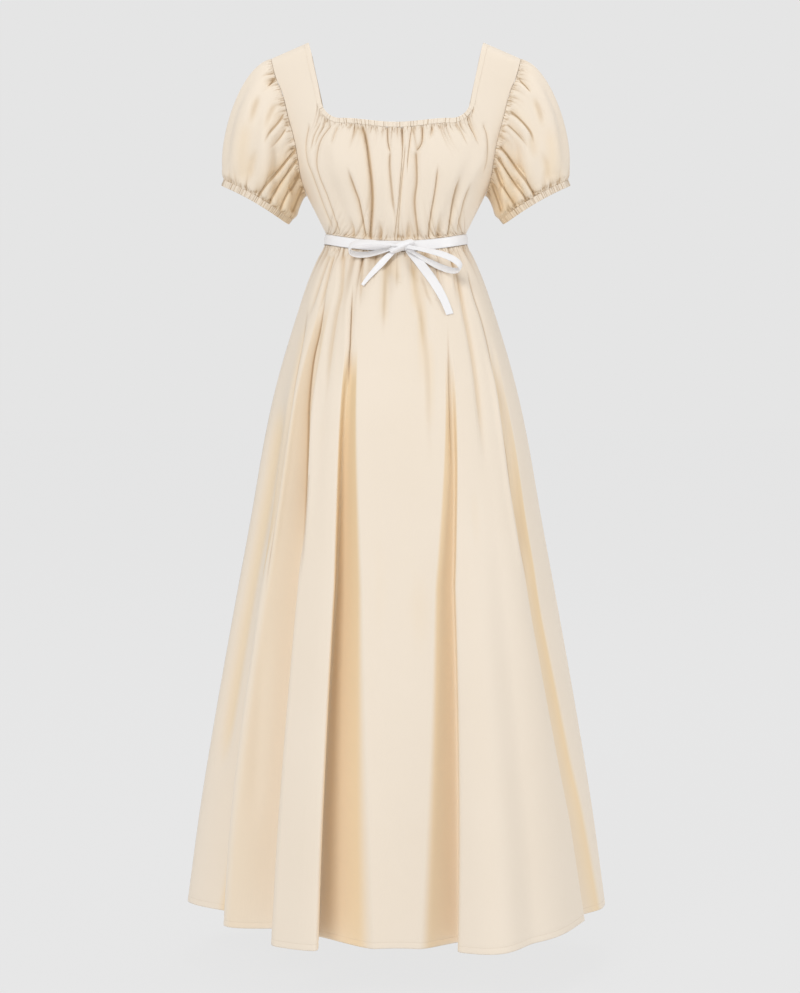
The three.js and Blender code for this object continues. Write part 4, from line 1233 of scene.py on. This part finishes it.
# %% Creases of the sleeves
SLEEVE_CREASES = {
    -1: [
        ([(-189, 60), (-196, 70), (-203, 78)], 3, 4.5, 1, (6, 10)),
        ([(-174, 118), (-184, 134), (-198, 152), (-206, 170)], 6, 5, 1, (10, 30)),
        ([(-170, 140), (-182, 158), (-200, 178)], 4, 4, 1, (8, 30)),
        ([(-154, 172), (-168, 188), (-190, 214), (-219, 250)], 7, 7.5, 1, (6, 10)),
        ([(-152, 186), (-166, 206), (-184, 230), (-201, 262)], 4.5, 6, 1, (6, 8)),
        ([(-148, 204), (-160, 226), (-174, 248), (-184, 270)], 4.5, 5.5, 1, (6, 8)),
        ([(-146, 226), (-156, 248), (-166, 272)], 4, 4.5, 1, (6, 8)),
        ([(-212, 86), (-221, 110), (-228, 142)], 6, 4, 0, (20, 30)),
        ([(-186, 100), (-198, 124), (-206, 150)], 6, 3.5, 0, (15, 30)),
        ([(-230, 120), (-238, 160), (-241, 200), (-239, 236)], 12, 4.5, 0, (40, 25)),
        ([(-216, 170), (-226, 196), (-230, 226)], 7, 3.5, 0, (25, 20)),
    ],
    1: [
        ([(192, 62), (204, 76), (212, 88)], 3, 4.5, -1, (6, 12)),
        ([(176, 112), (194, 130), (210, 150), (216, 172)], 7, 5, -1, (10, 30)),
        ([(172, 134), (190, 152), (208, 176)], 4, 4, -1, (8, 30)),
        ([(161, 168), (178, 188), (196, 214), (222, 252)], 7, 7.5, -1, (6, 10)),
        ([(158, 186), (176, 212), (196, 240), (208, 258)], 4.5, 6, -1, (6, 8)),
        ([(154, 200), (166, 228), (182, 252), (192, 268)], 4.5, 5.5, -1, (6, 8)),
        ([(150, 224), (160, 248), (168, 272)], 4, 4.5, -1, (6, 8)),
        ([(214, 90), (224, 116), (230, 146)], 6, 4, 0, (20, 30)),
        ([(204, 150), (214, 170), (218, 196)], 8, 4, 0, (20, 25)),
        ([(236, 128), (244, 165), (247, 204), (245, 236)], 12, 4.5, 0, (40, 25)),
        ([(226, 176), (236, 200), (238, 230)], 7, 3.5, 0, (25, 20)),
    ],
}
BEHIND_CREASES = [
    ([(178, 116), (196, 136), (212, 160), (220, 190)], 7, 5.5, -1, (10, 30)),
    ([(160, 172), (180, 194), (204, 226), (222, 250)], 6, 6.5, -1, (6, 10)),
    ([(154, 196), (170, 224), (188, 256)], 5, 5.5, -1, (6, 8)),
    ([(192, 70), (208, 90), (222, 120)], 6, 4.5, -1, (8, 30)),
    ([(240, 140), (250, 176), (250, 220)], 10, 4.5, 0, (30, 25)),
]


def under_arm_shade(points):
    """How much warm shade is painted under the arm: full at the inner end of the cuff, fading outwards."""
    low = smooth((-150 - points[..., 2]) / 80)
    inner = smooth((226 - np.abs(points[..., 0])) / 60)
    return 0.55 * low * inner * smooth(-points[..., 1] / 10)


def sleeve(name, side, seed):
    """One sleeve's points: the form, mirrored for the left side, with gathers from the seam and from
    the casing, and its creases seen from the front and the back. It swells over the casing. The
    creases' painted dark lines of shade are placed on the finished surface, so that they stay
    straight."""
    share = np.linspace(0, 1, 290, endpoint=False)[::-1]
    t = np.linspace(0, 1, 100)[:, None, None]
    points = sleeve_form(share, t)
    away = run(points, 0)
    below = away[-1:] - away
    seam = share * run(points[:1], 1).max()
    loop = share * run(points[-1:], 1).max()
    high = gathers("armhole", seam, away, seed, 0, seam.max())
    low = gathers("cuff", loop, below, seed + 2, 0, loop.max())
    place = np.where(away < below, seam, loop)
    if side < 0:
        points = mirrored(points)
        high, low, away, below, place = (each[:, ::-1] for each in (high, low, away, below, place))
    behind = []
    for path, soft, deep, crisp, ends in BEHIND_CREASES:
        behind.append(([(side * x, d) for x, d in path], soft, deep, side * crisp, ends))
    long = creases(points, SLEEVE_CREASES[side], -1)[0] + creases(points, behind, 1)[0]
    height = np.maximum(high + low + long, -DEEPEST)
    # Painted shade: warm where creases lie deep and under the arm, dark in the deepest gathers.
    shade_and_hem = (np.clip(-height / 16 + under_arm_shade(points), 0, 1), narrow(np.minimum(high, low)), FAR)
    height = height * mix(0.12, 1, smooth(away / 3)) * mix(0.5, 1, smooth(below / 4))
    height = height + 1.4 * hump((below - 9) / 12) + 0.7 * (1 - smooth(below / 5))
    points = points + directions(points, ring=True) * height[..., None]
    front = creases(points, SLEEVE_CREASES[side], -1)[1]
    back = creases(points, behind, 1)[1]
    in_front = points[..., 1] < 0
    # Painted dark lines of shade along the creases, their darkness raised 1.8 times.
    lines = [np.where(in_front, a, b) * more for a, b, more in zip(front, back, (1, 1.8, 1, 1.8))]
    return cloth(name, points, ring=True, shade_and_hem=shade_and_hem, seams=(place, away, below), lines=lines)


def cuff(name, side):
    """The casing round the arm: a tube with ruffles between the loop and the same loop moved down
    the sleeve."""
    share = np.linspace(0, 1, 300, endpoint=False)[::-1]
    edge, outward = cuff_loop(share)
    far = edge + CUFF_AXIS * (GAP + CUFF_DEEP)
    out = unit(outward - CUFF_AXIS * (outward * CUFF_AXIS).sum(-1, keepdims=True))
    place = share * CUFF_ROUND
    ruffle = 0.6 * np.sin(place * 1.2 + 2 * np.sin(place * 0.19)) + 0.45 * np.sin(place * 2.3)
    if side < 0:
        edge, far, out = (mirrored(each) for each in (edge, far, out))
    far = far - out * 1.5
    # Warm shade painted under the arm, as on the sleeve.
    shade_tone = under_arm_shade((edge + far) / 2)
    return casing(name, edge, far, out, CASING - 0.5, ruffle, place, np.ones(300), shade_tone)


# %% Both sleeves
for word, side, seed in (("left", -1, 61), ("right", 1, 83)):
    made = sleeve(f"{word}_sleeve_cloth", side, seed)
    finish_piece(made, f"sleeve_{word}", CREAM)
    made = cuff(f"{word}_cuff_cloth", side)
    finish_piece(made, f"cuff_{word}", CREAM)

# %% [markdown]
# ## The bow
# The ribbon's ends are tied in a plain bow at centre front: a knot, two loops and two tails. Loops
# and tails are strips carried along a path. Near the knot they are pinched, so their width shrinks
# and small pleats run into the knot.

# %% The bow's paths
KNOT = {"x": 9, "drop": 328, "across": 9, "tall": 11, "through": 7}
LOOPS = [
    # side, reach, fall, part, tilt, off, wide
    ("left", -77, 15, 23, 46, 17, 13),
    ("right", 79, 46, 27, 50, 27, 12.5),
]
TAILS = [
    # side, from, reach, fall, bend, wide, end
    ("left", -14, -60, 50, -3, 12, 5),
    ("right", 13, 73, 95, 8, 16, 12.5),
]
DRAWN = 6.5
BAND_FRONT = -(SKIRT["front"][0] + BAND_OUT + 0.5)
KNOT_MIDDLE = np.array([KNOT["x"], BAND_FRONT - GAP - KNOT["through"], LEVEL - KNOT["drop"]])


def on_front(x, z, out):
    """Points on the front of the skirt at given side distances and heights, moved out, with the
    cloth's outer direction: found by small steps of the angle and the drop."""
    angle = np.zeros_like(x, dtype=float)
    drop = np.full_like(angle, SKIRT_TOP)
    for _ in range(60):
        point = skirt_point(angle, drop)[0]
        angle = angle + (x - point[..., 0]) / 4
        drop = np.clip(drop + (point[..., 2] - z) * 0.8, SKIRT_TOP, HEM)
    point = skirt_point(angle, drop)[0]
    below = skirt_point(angle, drop + 4)[0]
    beside = skirt_point(angle + 1, drop)[0]
    out_way = unit(np.cross(below - point, beside - point))
    return vectors(point[..., 0], point[..., 1], z) + out_way * np.asarray(out)[..., None], out_way


def strip(name, middle, wideways, wide, crown, pleats):
    """A ribbon along a path: across its width it bulges by crown times 1 - e², and is pleated by a
    sine where it is pinched. e runs from -1 to 1 across the width."""
    e = np.linspace(-1, 1, 15)[:, None]
    points = middle + wideways * (e * wide / 2)[..., None]
    out = directions(points)
    lift = crown * (1 - e**2) + pleats * np.sin(3 * np.pi * e)
    return cloth(name, points + out * lift[..., None], thick=RIBBON)


# %% Loops and tails
def bow_loop(side, reach, fall, part, tilt, off, wide):
    """Out from the knot and back in one plane, the two layers parting on the way. The plane leans
    back at its lower edge, so that both layers show the face that looks up and forwards."""
    aim = KNOT_MIDDLE + np.array([reach, 0, -fall])
    start = KNOT_MIDDLE + np.array([0, -4, 0])
    way = on_front(aim[0:1], aim[2:3], np.array([float(off)]))[0][0] - start
    length = np.linalg.norm(way)
    way = way / length
    apart = np.array([0, np.sin(tilt * RAD), -np.cos(tilt * RAD)])
    apart = unit(apart - way * (apart @ way))
    t = np.linspace(0, 1, 90)[:, None]
    out = mix(KNOT["across"] - 2, length, np.sin(np.pi * t))
    lateral = part / 2 * np.sin(2 * np.pi * t) + 1.5 * np.cos(np.pi * t)
    middle = start + way * out + apart * lateral
    full = smooth(np.sin(np.pi * t[:, 0]) / 0.7)
    wideways = np.cross(way, apart) * np.ones((90, 1))
    pinch = 0.7 * (1 - full)
    return strip(f"{side}_bow_loop_satin", middle, wideways, mix(DRAWN, wide, full), 0.5 * full, pinch)


def bow_tail(side, start, reach, fall, bend, wide, end):
    """From under the knot down over the skirt, turning on it as it goes."""
    top = KNOT_MIDDLE[2] - KNOT["tall"] - 1.3
    lies = GAP + 1.3
    under = on_front(KNOT_MIDDLE[:1], np.array([top]), np.zeros(1))[0][0, 1]
    stands = under - KNOT_MIDDLE[1] - 3

    def at(t):
        x = KNOT_MIDDLE[0] + mix(start, reach, t) + bend * np.sin(np.pi * t)
        return on_front(x, top - fall * t, mix(stands, lies, smooth(t / 0.35)))

    t = np.linspace(-0.12, 1, 80)
    middle, out = at(t)
    forward = at(t + 0.02)[0] - at(t - 0.02)[0]
    turned = unit(np.cross(out, forward))
    wideways = mix(turned, np.array([1.0, 0, 0]), (1 - smooth(t / 0.35))[:, None])
    full = smooth((t + 0.12) / 0.2)
    wide = mix(DRAWN, mix(wide, end, np.clip(t, 0, 1) ** 1.5), full)
    middle = middle + out * (0.6 * full + 0.6 * np.sin(t * 9) * full)[:, None]
    pleats = 0.5 * (1 - full)
    return strip(f"{side}_bow_tail_satin", middle, wideways, wide, 0.4 * full, pleats)


for row in LOOPS:
    made = bow_loop(*row)
    finish_piece(made, f"ribbon_loop_{row[0]}", WHITE)
for row in TAILS:
    made = bow_tail(*row)
    finish_piece(made, f"ribbon_tail_{row[0]}", WHITE)

# %% [markdown]
# The knot is the ribbon wrapped once round the rest: a small flat pillow, longer than tall, which
# rises to the right as the wrap does, with pleats that run along it.

# %% The knot
WRAP = {"rise": 20, "along": 21, "tall": 6.5}


def bow_knot():
    """A closed pillow: sections across it grow and shrink as a filled-out circle does, and its
    pleats are two sine waves of the turn round it, so that they run lengthwise."""
    e = np.linspace(-1, 1, 41)
    turned = np.linspace(0, 2 * np.pi, 56, endpoint=False)[:, None]
    size = np.clip(1 - np.abs(e) ** 3.5, 0, 1) ** 0.4
    pleat = 1 + (0.07 * np.sin(5 * turned + 1.5 * e) + 0.04 * np.sin(9 * turned - e)) * size
    gone = WRAP["along"] * e + 0 * turned
    up = WRAP["tall"] * (1 - 0.2 * e) * size * pleat * np.sin(turned)
    y = -KNOT["through"] * 0.85 * size * pleat * np.cos(turned)
    rise = WRAP["rise"] * RAD
    points = vectors(gone * np.cos(rise) + up * np.sin(rise), y, gone * np.sin(rise) - up * np.cos(rise))
    return cloth("bow_knot_satin", KNOT_MIDDLE + points, tube=True)


knot = finish_piece(bow_knot(), "ribbon_knot", WHITE)
